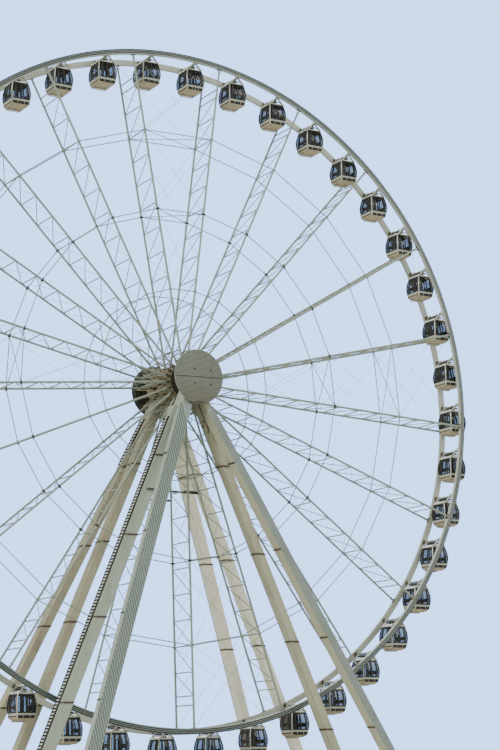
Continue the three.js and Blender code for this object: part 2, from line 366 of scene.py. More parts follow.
def node_group(name, inputs, outputs=SURFACE):
    """An empty shader node group that takes a vector and named values, with its end nodes."""
    group = bpy.data.node_groups.new(name, "ShaderNodeTree")
    group.interface.new_socket(name="Vector", in_out="INPUT", socket_type="NodeSocketVector")
    for label, default in inputs:
        kind = "NodeSocketFloat" if isinstance(default, float) else "NodeSocketColor"
        socket = group.interface.new_socket(name=label, in_out="INPUT", socket_type=kind)
        socket.default_value = default
    for label, kind in outputs:
        group.interface.new_socket(name=label, in_out="OUTPUT", socket_type=kind)
    return group, group.nodes.new("NodeGroupInput").outputs, group.nodes.new("NodeGroupOutput").inputs


def fill(tree, socket, value):
    """Links a socket to another, or sets its number, vector or colour."""
    if isinstance(value, bpy.types.NodeSocket):
        tree.links.new(value, socket)
    elif socket.type == "RGBA":
        socket.default_value = (*value, 1.0)
    else:
        socket.default_value = value


def add_node(tree, kind, **values):
    """A shader node whose inputs are given by their labels."""
    node = tree.nodes.new("ShaderNode" + kind)
    for label, value in values.items():
        fill(tree, node.inputs[label.replace("_", " ")], value)
    return node


def noise(tree, vector, scale, detail=3.0, roughness=0.55):
    return add_node(tree, "TexNoise", Vector=vector, Scale=scale, Detail=detail,
                    Roughness=roughness).outputs["Fac"]


def stretched(tree, vector, scale):
    return add_node(tree, "Mapping", Vector=vector, Scale=scale).outputs["Vector"]


def remap(tree, value, low, high, out_low=0.0, out_high=1.0):
    return add_node(tree, "MapRange", Value=value, From_Min=low, From_Max=high, To_Min=out_low,
                    To_Max=out_high).outputs["Result"]


def maths(tree, operation, first, second):
    node = add_node(tree, "Math")
    node.operation = operation
    for socket, value in zip(node.inputs, (first, second)):
        fill(tree, socket, value)
    return node.outputs["Value"]


def mixed_colour(tree, factor, first, second, blend="MIX"):
    """Mixes two colours; the RGBA sockets of the mix node are picked by their kind."""
    node = add_node(tree, "Mix")
    node.data_type = "RGBA"
    node.blend_type = blend
    colours = [socket for socket in node.inputs if socket.type == "RGBA"]
    for socket, value in zip((node.inputs[0], *colours), (factor, first, second)):
        fill(tree, socket, value)
    return next(socket for socket in node.outputs if socket.type == "RGBA")


def weathered_paint_group():
    """Paint with faded patches, rain streaks, fine dirt and a slight orange peel."""
    group, given, result = node_group("weathered_paint", [
        ("Paint", (0.5, 0.5, 0.5, 1)), ("Dirt", (0.12, 0.10, 0.07, 1)), ("Dirt Amount", 0.3),
        ("Streak Scale", 2.0), ("Gloss", 0.45)])
    vector = given["Vector"]
    patches = remap(group, noise(group, vector, 0.7, 4.0), 0.35, 0.7)
    faded = mixed_colour(group, maths(group, "MULTIPLY", patches, 0.28), given["Paint"], given["Paint"],
                         "SOFT_LIGHT")
    streak_noise = noise(group, stretched(group, vector, (1.0, 1.0, 0.07)), given["Streak Scale"], 5.0, 0.5)
    streaks = remap(group, streak_noise, 0.5, 0.78)
    specks = remap(group, noise(group, vector, 14.0, 6.0, 0.7), 0.58, 0.75)
    dirt = maths(group, "MULTIPLY", maths(group, "MAXIMUM", streaks, maths(group, "MULTIPLY", specks, 0.5)),
                 given["Dirt Amount"])
    fill(group, result["Colour"], mixed_colour(group, dirt, faded, given["Dirt"]))
    rough = maths(group, "ADD", given["Gloss"], maths(group, "MULTIPLY", dirt, 0.35))
    fill(group, result["Roughness"], maths(group, "ADD", rough, maths(group, "MULTIPLY", patches, 0.08)))
    peel = noise(group, vector, 60.0, 2.0)
    fill(group, result["Height"], maths(group, "ADD", peel, maths(group, "MULTIPLY", dirt, 0.6)))
    return group


def rusting_group():
    """Rust blooms over dark metal."""
    group, given, result = node_group("rusting", [
        ("Metal", (0.1, 0.1, 0.1, 1)), ("Rust", (0.20, 0.08, 0.03, 1)), ("Rust Amount", 0.5)])
    bloom = noise(group, given["Vector"], 5.0, 8.0, 0.7)
    grain = noise(group, given["Vector"], 45.0, 4.0, 0.6)
    mask = maths(group, "MULTIPLY", remap(group, bloom, 0.38, 0.62), given["Rust Amount"])
    fill(group, result["Colour"], mixed_colour(group, mask, given["Metal"], given["Rust"]))
    fill(group, result["Roughness"], remap(group, mask, 0.0, 1.0, 0.45, 0.85))
    fill(group, result["Height"], maths(group, "ADD", grain, bloom))
    return group


def brushed_group():
    """Galvanised or brushed metal with spangle patches and fine scratches."""
    group, given, result = node_group("brushed_metal", [
        ("Metal", (0.5, 0.5, 0.5, 1)), ("Spangle Scale", 12.0)])
    spangle = add_node(group, "TexVoronoi", Vector=given["Vector"], Scale=given["Spangle Scale"])
    tone = remap(group, spangle.outputs["Distance"], 0.0, 0.9, 0.82, 1.12)
    scratches = noise(group, stretched(group, given["Vector"], (1.0, 1.0, 24.0)), 9.0, 5.0)
    darker = mixed_colour(group, remap(group, scratches, 0.45, 0.75, 0.0, 0.35), given["Metal"],
                          (0.16, 0.16, 0.16))
    toned = add_node(group, "VectorMath")
    toned.operation = "SCALE"
    fill(group, toned.inputs[0], darker)
    fill(group, toned.inputs["Scale"], tone)
    fill(group, result["Colour"], toned.outputs["Vector"])
    fill(group, result["Roughness"], remap(group, scratches, 0.3, 0.8, 0.3, 0.6))
    fill(group, result["Height"], scratches)
    return group


def tread_group():
    """Raised diamonds of tread plate, in a plane seen from above."""
    group, given, result = node_group("tread_plate", [("Pitch", 26.0)],
                                      (("Height", "NodeSocketFloat"), ("Mask", "NodeSocketFloat")))
    waves = []
    for degrees in (45, -45):
        turned = add_node(group, "Mapping", Vector=given["Vector"], Rotation=(0, 0, math.radians(degrees)))
        wave = add_node(group, "TexWave", Vector=turned.outputs["Vector"], Scale=given["Pitch"])
        waves.append(wave.outputs["Fac"])
    raised = remap(group, maths(group, "MULTIPLY", *waves), 0.55, 0.75)
    fill(group, result["Height"], raised)
    fill(group, result["Mask"], raised)
    return group


def finish_name(name):
    """Name of a finish made here, which differs from that of the frame's own plain material."""
    return name + "_finish"


def new_material(name):
    material = bpy.data.materials.new(finish_name(name))
    material.use_nodes = True
    tree = material.node_tree
    return tree, tree.nodes["Principled BSDF"].inputs, add_node(tree, "TexCoord").outputs["Object"]


def use_group(tree, group, vector, **values):
    node = add_node(tree, "Group")
    node.node_tree = group
    for label, value in {"Vector": vector, **values}.items():
        fill(tree, node.inputs[label.replace("_", " ")], value)
    return node.outputs


def dress(tree, shader, tone, rough, height, strength, distance, metallic=0.0):
    """Gives a shader its colour, roughness, metal share and relief."""
    fill(tree, shader["Base Color"], tone)
    fill(tree, shader["Roughness"], rough)
    fill(tree, shader["Metallic"], metallic)
    bump = add_node(tree, "Bump", Strength=strength, Distance=distance, Height=height)
    fill(tree, shader["Normal"], bump.outputs["Normal"])


def painted(name, group, paint, dirt=(0.13, 0.11, 0.08), amount=0.3, streak=2.0, gloss=0.42, coat=0.0,
            browning=None):
    """A painted finish made with the weathered paint group; a browning darkens it towards brown from one
    height to another, painted shade on some finishes.
    """
    tree, shader, vector = new_material(name)
    tone, rough, height = use_group(tree, group, vector, Paint=paint, Dirt=dirt, Dirt_Amount=amount,
                                    Streak_Scale=streak, Gloss=gloss)
    if browning:
        plain_height, brown, strength = browning
        up = add_node(tree, "SeparateXYZ", Vector=vector).outputs["Z"]
        share = remap(tree, up, plain_height * SCALE, brown * SCALE, 0.0, strength)
        tone = mixed_colour(tree, share, tone, BROWN_TONE)
    fill(tree, shader["Coat Weight"], coat)
    dress(tree, shader, tone, rough, height, 0.25, 0.002)


def rusty(name, group, metal_tone, rust, amount):
    tree, shader, vector = new_material(name)
    made = use_group(tree, group, vector, Metal=metal_tone, Rust=rust, Rust_Amount=amount)
    dress(tree, shader, *made, 0.5, 0.003, 0.25)


def metal(name, group, base, spangle):
    tree, shader, vector = new_material(name)
    made = use_group(tree, group, vector, Metal=base, Spangle_Scale=spangle)
    dress(tree, shader, *made, 0.15, 0.001, 0.9)


def tinted_glass(name, tint):
    """Dark tinted glass that can be seen through, with faint smears."""
    tree, shader, vector = new_material(name)
    smear = noise(tree, stretched(tree, vector, (1.0, 1.0, 0.3)), 3.0, 4.0)
    fill(tree, shader["Roughness"], remap(tree, smear, 0.35, 0.8, 0.02, 0.12))
    fill(tree, shader["Base Color"], tint)
    fill(tree, shader["Alpha"], remap(tree, smear, 0.3, 0.8, 0.36, 0.48))
    fill(tree, shader["Specular IOR Level"], 0.45)


def tread_plate(name, metal_group, tread, base):
    """Galvanised plate whose raised diamonds are worn bright."""
    tree, shader, vector = new_material(name)
    tone, rough, _ = use_group(tree, metal_group, vector, Metal=base, Spangle_Scale=5.0)
    height, mask = use_group(tree, tread, vector, Pitch=18.0)
    worn = mixed_colour(tree, maths(tree, "MULTIPLY", mask, 0.4), tone, (0.62, 0.62, 0.60))
    dress(tree, shader, worn, rough, height, 0.6, 0.004, 0.7)


# Brown tints: the height where each begins, the height where it is strongest, and its strength
BROWN_TONE = (0.13, 0.085, 0.045)
# Painted shade of the hub on the front right legs' upper parts, in brown
LEG_HUB_SHADE = (HUB.z - 5.4, HUB.z - 2.2, 0.3)
# The rear right legs darken and brown towards the hub
SUNLIT_LEG_BROWNING = (HUB.z - 6.0, HUB.z - 2.2, 0.35)
# The hub covers darken and brown towards the bottom
COVER_BROWNING = (HUB.z - 0.2, HUB.z - 2.2, 0.4)

# How each painted finish weathers, with its brown tint and any painted light or shade; its paint is the
# colour of the same name
PAINTS = {
    "wheel_paint": dict(streak=1.2),
    "spoke_paint": dict(streak=1.2),
    "rim_paint": dict(dirt=(0.14, 0.14, 0.11), streak=1.2),
    "rim_channel": dict(dirt=(0.06, 0.075, 0.075), gloss=0.4),
    "leg_paint": dict(amount=0.35, streak=2.4, gloss=0.6, browning=LEG_HUB_SHADE),
    "grey_leg_paint": dict(streak=2.4, gloss=0.6),
    "rear_leg_paint": dict(amount=0.4, streak=2.4, gloss=0.6),
    "pale_leg_paint": dict(dirt=(0.42, 0.34, 0.22), amount=0.2, streak=2.4, gloss=0.6, browning=SUNLIT_LEG_BROWNING),
    "strut_paint": dict(amount=0.45, streak=2.4, gloss=0.6),
    "housing_paint": dict(amount=0.25, streak=1.5, gloss=0.75, browning=COVER_BROWNING),
    "hub_shade": dict(dirt=(0.06, 0.05, 0.04), amount=0.4, gloss=0.6),
    "drum_steel": dict(dirt=(0.04, 0.03, 0.02), amount=0.5, gloss=0.55),
    "cabin_paint": dict(amount=0.18, streak=4.0, gloss=0.28, coat=0.3),
    "cabin_roof": dict(amount=0.12, streak=4.0, gloss=0.3, coat=0.2),
    "cabin_bowl": dict(amount=0.35, streak=5.0, gloss=0.45),
    "cabin_seat": dict(dirt=(0.03, 0.03, 0.03), amount=0.2, gloss=0.6),
    "seal_rubber": dict(dirt=(0.05, 0.05, 0.05), gloss=0.5),
    "light_panel": dict(amount=0.2, streak=3.0, gloss=0.4),
    "light_tube": dict(amount=0.15, streak=3.0, gloss=0.3, coat=0.4),
    "dark_steel": dict(dirt=(0.10, 0.09, 0.08), gloss=0.38),
    "base_steel": dict(amount=0.45, gloss=0.5),
}

# The legs share one paint in lit copies: painted cool skylight on the front left, painted sunlight on the
# rear right
LEG_FINISH = {
    "front_left": "grey_leg_paint",
    "front_right": "leg_paint",
    "rear_left": "rear_leg_paint",
    "rear_right": "pale_leg_paint",
}


class WHEEL_OT_materials(bpy.types.Operator):
    """Makes the finishes of the wheel and gives the frame's own nodes theirs"""
    bl_idname = "wheel.materials"
    bl_label = "Make the finishes"

    def execute(self, context):
        paints = context.scene.wheel_colours
        weathered = weathered_paint_group()
        brushed = brushed_group()
        for name, wear in PAINTS.items():
            painted(name, weathered, getattr(paints, name), **wear)
        rusty("collar_steel", rusting_group(), paints.collar, (0.15, 0.085, 0.05), 0.5)
        metal("hub_steel", brushed, (0.30, 0.31, 0.32), 6.0)
        metal("rail_metal", brushed, paints.rail_metal, 14.0)
        tread_plate("deck_metal", brushed, tread_group(), paints.deck_metal)
        tinted_glass("cabin_glass", paints.glass_tint)
        finishes = {part["node"]: part["material_slot"] for part in frame["record"]["subparts"]}
        finishes.update({corner + "_legs": finish for corner, finish in LEG_FINISH.items()})
        for node, finish in finishes.items():
            for slot in frame["nodes"][node].material_slots:
                slot.material = bpy.data.materials[finish_name(finish)]
        return {"FINISHED"}


# Rims

RIM_STEPS = 4 * len(CABINS)

# Outboard face: shares of the rim's depth from its inner edge, and of its half width from its middle
PROUD = 0.95
SUNK = 0.62
RIM_FACE = ((0.0, 1.0), (0.16, 1.0), (0.18, SUNK), (0.38, SUNK), (0.40, PROUD), (0.45, PROUD),
            (0.47, SUNK), (0.67, SUNK), (0.69, PROUD), (0.74, PROUD), (0.76, SUNK), (1.0, SUNK))

# Bands on that face: a share of the rim's width from its middle, and shares of its depth
RIM_BANDS = {
    # The near-black bands lie in the sunk grooves, light strips darkened as painted shade
    "rim_channel": (0.31, ((0.19, 0.37), (0.48, 0.66), (0.77, 0.99))),
    "rim_paint": (0.46, ((0.0, 0.16), (0.40, 0.45), (0.69, 0.74))),
}
BAND_THICKNESS = 0.015
SPLICE_LENGTH = 0.42
SPLICE_THICKNESS = 0.04
SPLICE_BOLTS = tuple(product((-0.17, 0.17), (-0.08, 0.08)))

# Axle bearings: radii of the bore and the ring, and where the clamp's two halves stand
BEARING_BORE = 0.092
BEARING_RADIUS = 0.17
CLAMP_X = 0.13
CLAMP_BEHIND_RIM = 0.13


def rim_inside(now):
    """Inner radius of the rims."""
    return now.rim_radius - now.rim_depth


def rim_section(now):
    """Box section with three grooves in its outboard face, as radius and axial place."""
    half = now.rim_width / 2
    back = now.rim_offset - half
    face = [(rim_inside(now) + share * now.rim_depth, now.rim_offset + half * out) for share, out in RIM_FACE]
    return [(rim_inside(now), back), *face, (now.rim_radius, back)]


class WHEEL_OT_rims(bpy.types.Operator):
    """Makes the two smooth rims with their grooves, splice plates and axle bearings"""
    bl_idname = "wheel.rims"
    bl_label = "Make the rims"

    def execute(self, context):
        now = sizes()
        for side, name in SIDES:
            bm = bmesh.new()
            add_turned(bm, rim_section(now), RIM_STEPS, FIRST_ANGLE, side)
            wheel_piece(bm, name + "_rim_ring", "wheel_paint", [name + "_rim"])
            self.splices(now, side, name)
            self.bearings(now, side, name)
            for slot, (place, shares) in RIM_BANDS.items():
                self.bands(now, side, name, slot, now.rim_offset + now.rim_width * place, shares)
        return {"FINISHED"}

    def bands(self, now, side, name, slot, face, shares):
        """Flat bands round the rim's outboard face, each between two shares of the rim's depth."""
        bm = bmesh.new()
        for band in shares:
            inner, outer = (rim_inside(now) + share * now.rim_depth for share in band)
            add_band(bm, inner, outer, face, face + BAND_THICKNESS, RIM_STEPS, FIRST_ANGLE, side)
        wheel_piece(bm, name + "_" + slot, slot)

    def splices(self, now, side, name):
        """Bolted cover plates where each spoke meets the rim."""
        bm = bmesh.new()
        low = rim_inside(now)
        middle = side * now.rim_offset
        for turn in SPOKE_TURNS:
            add_box(bm, (SPLICE_LENGTH, now.rim_width * 0.98, SPLICE_THICKNESS), turn, 0.008,
                    (0, middle, low - 0.012))
            for x, y in SPLICE_BOLTS:
                add_bolt(bm, x, middle + y, low - 0.02, low - 0.06, 0.028, at=turn)
        wheel_piece(bm, name + "_rim_splices", "collar_steel")

    def bearings(self, now, side, name):
        """A ring bearing on the rim for each cabin's axle, in a clamp block with bolts."""
        inside = now.rim_offset - now.rim_width / 2
        ring = bmesh.new()
        add_turned(ring, [(BEARING_BORE, inside - 0.05), (BEARING_RADIUS - 0.02, inside - 0.05),
                          (BEARING_RADIUS, inside - 0.02), (BEARING_RADIUS, inside),
                          (BEARING_BORE, inside)], 20, side=side)
        y = side * (inside - CLAMP_BEHIND_RIM)
        for x in (-CLAMP_X, CLAMP_X):
            add_post(ring, x, y, 0.05, 0.12, -0.13, 0.15, 0.02)
            add_bolt(ring, x, y - side * 0.05, -0.16, 0.2, 0.02)
        add_post(ring, 0, y, 0.15, 0.12, -0.17, -0.11, 0.015)
        bm = bmesh.new()
        stamp_all(bm, ring, [Matrix.Translation(cabin_axle(cabin) - HUB) for cabin in CABINS])
        # The rear bearings are dark collar steel as painted shade on their seen side; the front ones are
        # cream like the rims
        wheel_piece(bm, name + "_axle_bearings", "wheel_paint" if side < 0 else "collar_steel")


# Spokes: the radii of the rungs, the rings of ties and the hub drum

RUNG_RADII = [25.1, 24.4] + [22.6 - 2 * row for row in range(11)]
TIE_RADII = (20.6, 14.07, 7.5)
CROSSED_RINGS = 2
CLAMPED_RING = 1
BRACED_BAYS = (1, 6, 11, 17)
SHOE_TOP = 1.75
SHOE_FOOT = 1.15
DRUM_RADIUS = 1.25
DRUM_BORE = 0.9
DRUM_HALF_LENGTH = 1.54
DRUM_GAP = 0.002
SPOKE_COLLAR = 1.35


def make_ladder(now):
    """A ladder spoke pointing up: two tubes, rungs, a thick and a thin diagonal in each bay."""
    bm = bmesh.new()
    end = rim_inside(now) - 0.01
    collar = now.spoke_radius * SPOKE_COLLAR
    for y in (-now.rim_offset, now.rim_offset):
        add_bolt(bm, 0, y, DRUM_RADIUS - 0.05, end, now.spoke_radius, 14)
        add_bolt(bm, 0, y, end - 0.34, end - 0.30, collar, 14)
        add_bolt(bm, 0, y, SHOE_TOP, SHOE_TOP + 0.06, collar, 14)
    reach = now.rim_offset - now.spoke_radius * 0.6
    for radius in RUNG_RADII:
        add_rod(bm, (0, -reach, radius), (0, reach, radius), now.rung_radius, 10)
    for top, bottom in zip(RUNG_RADII[1:], RUNG_RADII[2:]):
        add_rod(bm, (0, -reach, top - 0.06), (0, reach, bottom + 0.06), now.diagonal_radius, 8)
        add_rod(bm, (0.05, reach, top - 0.06), (0.05, -reach, bottom + 0.06), now.stay_radius, 6)
    for y in (-reach, reach):
        add_rod(bm, (0, y, SHOE_TOP + 0.1), (0, -y, RUNG_RADII[-1] - 0.05), now.diagonal_radius, 6)
    return bm


def make_shoe(now):
    """Shoe of one spoke on its flat of the drum, with cheek plates and bolts."""
    bm = bmesh.new()
    for y in (-now.rim_offset, now.rim_offset):
        add_post(bm, 0, y, 0.11, 0.05, SHOE_FOOT, SHOE_TOP - 0.1, 0.02)
        for cheek in (-0.1, 0.1):
            add_post(bm, 0, y + cheek, 0.045, 0.012, SHOE_FOOT, SHOE_TOP + 0.1, 0.006)
        for z in (SHOE_TOP - 0.18, SHOE_TOP + 0.03):
            add_rod(bm, (0, y - 0.135, z), (0, y + 0.135, z), 0.026, 6)
    return bm


def make_drum():
    """The part of the hub drum under one set of spokes, with a flat for each."""
    bm = bmesh.new()
    half = SPOKES_PER_SET * SPOKE_STEP / 2 - DRUM_GAP
    outline = []
    for radius, way in ((DRUM_RADIUS, 1), (DRUM_BORE + DRUM_GAP, -1)):
        for step in range(SPOKES_PER_SET + 1):
            place = on_wheel(way * half * (2 * step / SPOKES_PER_SET - 1), radius, -DRUM_HALF_LENGTH)
            outline.append(bm.verts.new(place))
    made = bmesh.ops.extrude_face_region(bm, geom=[bm.faces.new(outline)])
    bmesh.ops.translate(bm, vec=(0, 2 * DRUM_HALF_LENGTH, 0), verts=made_items(made, BMVert))
    return bm


class WHEEL_OT_spokes(bpy.types.Operator):
    """Makes the ladder spokes in sets of three on their part of the hub drum"""
    bl_idname = "wheel.spokes"
    bl_label = "Make the spokes"

    def execute(self, context):
        parts = (make_ladder(sizes()), make_shoe(sizes()), make_drum())
        templates = [as_mesh(part, "template") for part in parts]
        ladder, shoe, drum = templates
        for first in range(0, SPOKE_COUNT, SPOKES_PER_SET):
            turns = SPOKE_TURNS[first:first + SPOKES_PER_SET]
            ladders = bmesh.new()
            drums = bmesh.new()
            for turn in turns:
                stamp(ladders, ladder, turn)
                stamp(drums, shoe, turn)
            stamp(drums, drum, turns[len(turns) // 2])
            node = f"spoke_set_{first // SPOKES_PER_SET + 1}"
            wheel_piece(ladders, node + "_ladders", "spoke_paint", [node])
            # The drum and the shoes are near-black, brown steel with painted shade between the rims
            wheel_piece(drums, node + "_drum", "drum_steel")
        for mesh in templates:
            bpy.data.meshes.remove(mesh)
        return {"FINISHED"}


class WHEEL_OT_ties(bpy.types.Operator):
    """Makes the rings of tie rods, their clamps and the thin cross stays"""
    bl_idname = "wheel.ties"
    bl_label = "Make the ties and stays"

    def execute(self, context):
        now = sizes()
        for number, radius in enumerate(TIE_RADII):
            self.ring(now, number, radius)
        self.clamps(now)
        self.stays(now)
        return {"FINISHED"}

    def ring(self, now, number, radius):
        """Ties between all spokes in both rims' planes, crossed from plane to plane in the braced bays."""
        bm = bmesh.new()
        for index, side in product(range(SPOKE_COUNT), (-1, 1)):
            here = on_wheel(spoke_angle(index), radius, side * now.rim_offset)
            there = on_wheel(spoke_angle(index + 1), radius, side * now.rim_offset)
            add_rod(bm, here, there, now.tie_radius, 8)
            if index in BRACED_BAYS and number < CROSSED_RINGS:
                across = on_wheel(spoke_angle(index + 1), radius, -side * now.rim_offset)
                add_rod(bm, here, across, now.tie_radius * 0.8, 8)
        wheel_piece(bm, f"tie_ring_{number + 1}", "spoke_paint")

    def clamps(self, now):
        """Bolted clamps that hold the ties on the spoke tubes, dark and larger on the middle ring."""
        dark = bmesh.new()
        plain = bmesh.new()
        for number, radius in enumerate(TIE_RADII):
            bm, wide = (dark, 0.30) if number == CLAMPED_RING else (plain, 0.22)
            for turn, side in product(SPOKE_TURNS, (-1, 1)):
                add_box(bm, (wide, 0.22, 0.14), turn, 0.03, (0, side * now.rim_offset, radius))
                for x in (-0.08, 0.08):
                    ends = [Vector((x, side * (now.rim_offset + out), radius)) for out in (0.10, 0.15)]
                    add_rod(bm, turn @ ends[0], turn @ ends[1], 0.024, 6)
        wheel_piece(dark, "tie_clamps", "dark_steel")
        wheel_piece(plain, "tie_brackets", "spoke_paint")

    def stays(self, now):
        """Thin rods that cross each braced bay between two spokes, in both rims' planes."""
        bm = bmesh.new()
        radii = (rim_inside(now), *TIE_RADII, SHOE_TOP + 0.2)
        for bay, (top, bottom), side in product(BRACED_BAYS, zip(radii, radii[1:]), (-1, 1)):
            off = side * now.rim_offset
            for first, second in ((bay, bay + 1), (bay + 1, bay)):
                add_rod(bm, on_wheel(spoke_angle(first), top, off),
                        on_wheel(spoke_angle(second), bottom, off), now.stay_radius, 6)
        wheel_piece(bm, "cross_stays", "spoke_paint")


# Hub: the round cover flares from its foot at the inner place to its rolled edge at the outer one

COVER_RADIUS = 2.15
COVER_FOOT = 1.93
COVER_INNER = 3.35
COVER_OUTER = 3.65
COVER_STEPS = 96
BEARING_OUTER = 0.95
BEARING_PLACE = 1.6
FRAME_SPOKES = 16
FRAME_RINGS = (1.3, 1.7)
FRAME_INNER = 0.92
FRAME_OUTER = COVER_RADIUS - 0.27
BEARING_BOLTS = 24
RIDGE_EDGE = COVER_RADIUS - 0.075
RIDGE_PITCH = 0.095
RIDGE_TILT = math.radians(-1.5)

# Crossed struts round the drum: a share of the bay, the radius, and how far the far end climbs
LATTICE = ((0.25, 1.34, 0.0), (0.5, 1.40, 0.55), (0.75, 1.36, 0.25))
LATTICE_LEAN = 0.30

# Ring plates at the drum's end: from and to, beyond the spokes' plane, and how far they stand out
FLANGES = ((-0.20, -0.16, 0.10), (0.145, 0.18, 0.015))

# Section of the cover and its bearing drum, as radius and axial place
COVER_SECTION = (
    (0.4505, 3.302), (0.4505, BEARING_PLACE), (BEARING_OUTER, BEARING_PLACE), (BEARING_OUTER, 1.68),
    (0.90, 1.72), (0.90, 3.2), (BEARING_OUTER, COVER_INNER - 0.05), (COVER_FOOT, COVER_INNER),
    (COVER_RADIUS, COVER_OUTER - 0.05), (COVER_RADIUS - 0.005, COVER_OUTER - 0.01),
    (COVER_RADIUS - 0.03, COVER_OUTER), (COVER_RADIUS - 0.06, COVER_OUTER),
    (COVER_RADIUS - 0.065, COVER_OUTER - 0.04), (0.002, COVER_OUTER - 0.04), (0.002, 3.302),
)

# Section of the dark sheet on the wheel's side of the cover, painted shade inside the cover
COVER_SHADE_SECTION = (
    (0.905, COVER_INNER - 0.12), (0.96, COVER_INNER - 0.07), (COVER_FOOT + 0.005, COVER_INNER - 0.02),
    (COVER_RADIUS + 0.002, COVER_OUTER - 0.06), (COVER_RADIUS - 0.04, COVER_OUTER - 0.06),
    (COVER_FOOT - 0.04, COVER_INNER + 0.01), (0.905, COVER_INNER - 0.05),
)


class WHEEL_OT_hub(bpy.types.Operator):
    """Makes the hub flanges, the round covers with their ridges, and their frames"""
    bl_idname = "wheel.hub"
    bl_label = "Make the hub"

    def execute(self, context):
        now = sizes()
        for side, name in SIDES:
            self.flanges(now, side, name)
            self.cover(side, name)
            self.ridges(side, name)
            self.cover_frame(side, name)
            self.fasteners(side, name)
        self.lattice(now)
        return {"FINISHED"}

    def lattice(self, now):
        """Crossed struts round the hub drum, between the feet of the spokes on both sides."""
        bm = bmesh.new()
        off = now.rim_offset + 0.1
        for index in range(SPOKE_COUNT):
            for share, radius, climb in LATTICE:
                start = spoke_angle(index) + share * SPOKE_STEP
                for lean in (-LATTICE_LEAN, LATTICE_LEAN):
                    near = on_wheel(start - lean, radius, -off)
                    far = on_wheel(start + lean, radius + climb, off)
                    add_rod(bm, near, far, 0.032, 6)
            middle = spoke_angle(index) + SPOKE_STEP / 2
            add_rod(bm, on_wheel(middle, 1.33, -off), on_wheel(middle, 1.33, off), 0.045, 6)
        wheel_piece(bm, "hub_lattice", "strut_paint")

    def flanges(self, now, side, name):
        """Narrow ring plates at the drum's end, with bolts, and a gusset between the feet of two spokes."""
        bm = bmesh.new()
        off = now.rim_offset
        for low, high, edge in FLANGES:
            add_band(bm, DRUM_RADIUS - 0.3, DRUM_RADIUS + edge, off + low, off + high, 84, side=side)
        for index in range(SPOKE_COUNT):
            middle = spoke_angle(index) + SPOKE_STEP / 2
            add_box(bm, (0.03, 0.3, 0.26), Matrix.Rotation(middle, 4, "Y"), 0.0, (0, side * off, DRUM_RADIUS))
            add_stud(bm, on_wheel(middle, DRUM_RADIUS - 0.05, side * (off + 0.17)), side * 0.04, 0.025)
        # The flanges are near-black, brown steel with painted shade between the rims
        wheel_piece(bm, name + "_hub_flange", "drum_steel")

    def cover(self, side, name):
        """Bearing drum and the round cover, a near-black sheet inside the cover and a dark bed under the
        ridges, both painted shade.
        """
        bm = bmesh.new()
        add_turned(bm, COVER_SECTION, COVER_STEPS, side=side)
        hub_piece(bm, name + "_hub_cover", "housing_paint", [name + "_hub_housing"])
        # Painted shade: the near-black sheet inside the cover and the dark bed behind the ridges
        dark = bmesh.new()
        add_turned(dark, COVER_SHADE_SECTION, COVER_STEPS, side=side)
        add_band(dark, 0.002, COVER_RADIUS - 0.07, COVER_OUTER - 0.042, COVER_OUTER - 0.032, COVER_STEPS,
                 side=side)
        hub_piece(dark, name + "_hub_lining", "hub_shade")

    def ridges(self, side, name):
        """Fine level ridges across the cover, cut off at its rolled edge, with a seam in the middle."""
        bm = bmesh.new()
        edge = RIDGE_EDGE
        rows = int(edge / RIDGE_PITCH)
        tilt = Matrix.Rotation(RIDGE_TILT, 4, "Y")
        for row in range(-rows, rows + 1):
            z = (row + 0.5) * RIDGE_PITCH
            if abs(z) < edge - 0.02:
                half = math.sqrt(edge * edge - z * z)
                add_box(bm, (2 * half, 0.035, RIDGE_PITCH * 0.72), tilt, 0.0,
                        (0, side * (COVER_OUTER - 0.02), z))
        hub_piece(bm, name + "_hub_ridges", "housing_paint")
        seam = bmesh.new()
        add_box(seam, (2 * edge, 0.03, 0.04), tilt, 0.0, (0, side * (COVER_OUTER - 0.01), -0.03))
        hub_piece(seam, name + "_hub_seam", "seal_rubber")

    def cover_frame(self, side, name):
        """Radial frame behind the cover, and the struts that hold it to the bearing drum."""
        bm = bmesh.new()
        struts = bmesh.new()
        for index in range(FRAME_SPOKES):
            angle_now = index * math.tau / FRAME_SPOKES
            root = on_wheel(angle_now, FRAME_INNER, side * (COVER_INNER - 0.02))
            tip = on_wheel(angle_now, FRAME_OUTER, side * (COVER_INNER - 0.03))
            add_bar(bm, root, tip, 0.05, 0.08)
            for turn in (-0.2, 0.2):
                add_rod(struts, on_wheel(angle_now + turn, 0.97, side * 1.9), tip, 0.03, 6)
        for radius in FRAME_RINGS:
            add_band(bm, radius - 0.03, radius + 0.03, COVER_INNER - 0.09, COVER_INNER - 0.01, 48, side=side)
        hub_piece(bm, name + "_hub_cover_frame", "collar_steel")
        hub_piece(struts, name + "_hub_cover_struts", "strut_paint")

    def fasteners(self, side, name):
        """Four dark studs on the cover and a ring of bolts round the bearing."""
        bm = bmesh.new()
        for x, z in product((-0.36, 1.04), (-0.53, 0.57)):
            add_stud(bm, Vector((x * -side, side * (COVER_OUTER - 0.04), z)), side * 0.045, 0.085, 16)
        for index in range(BEARING_BOLTS):
            base = on_wheel(index * math.tau / BEARING_BOLTS, BEARING_OUTER - 0.03,
                            side * (BEARING_PLACE - 0.015))
            add_stud(bm, base, side * 0.05, 0.03)
        hub_piece(bm, name + "_hub_studs", "dark_steel")


# Cabins: heights are below the axle, and places across a side are shares from its middle to its corner

ROOF_EDGE = -0.57
WINDOW_TOP = -0.61
WINDOW_FOOT = -1.99
BELT_FOOT = -2.13
VENT_FOOT = -2.35
BOTTOM = -2.54
PANE_TOP = -0.72
PANE_FOOT = -1.89
CORNER_POST = 0.90
END_PANES = ((0.06, 0.50), (0.70, 0.86))
SIDE_PANES = ((-0.01, 0.36), (0.55, 0.74))
CORNER_STEPS = 4

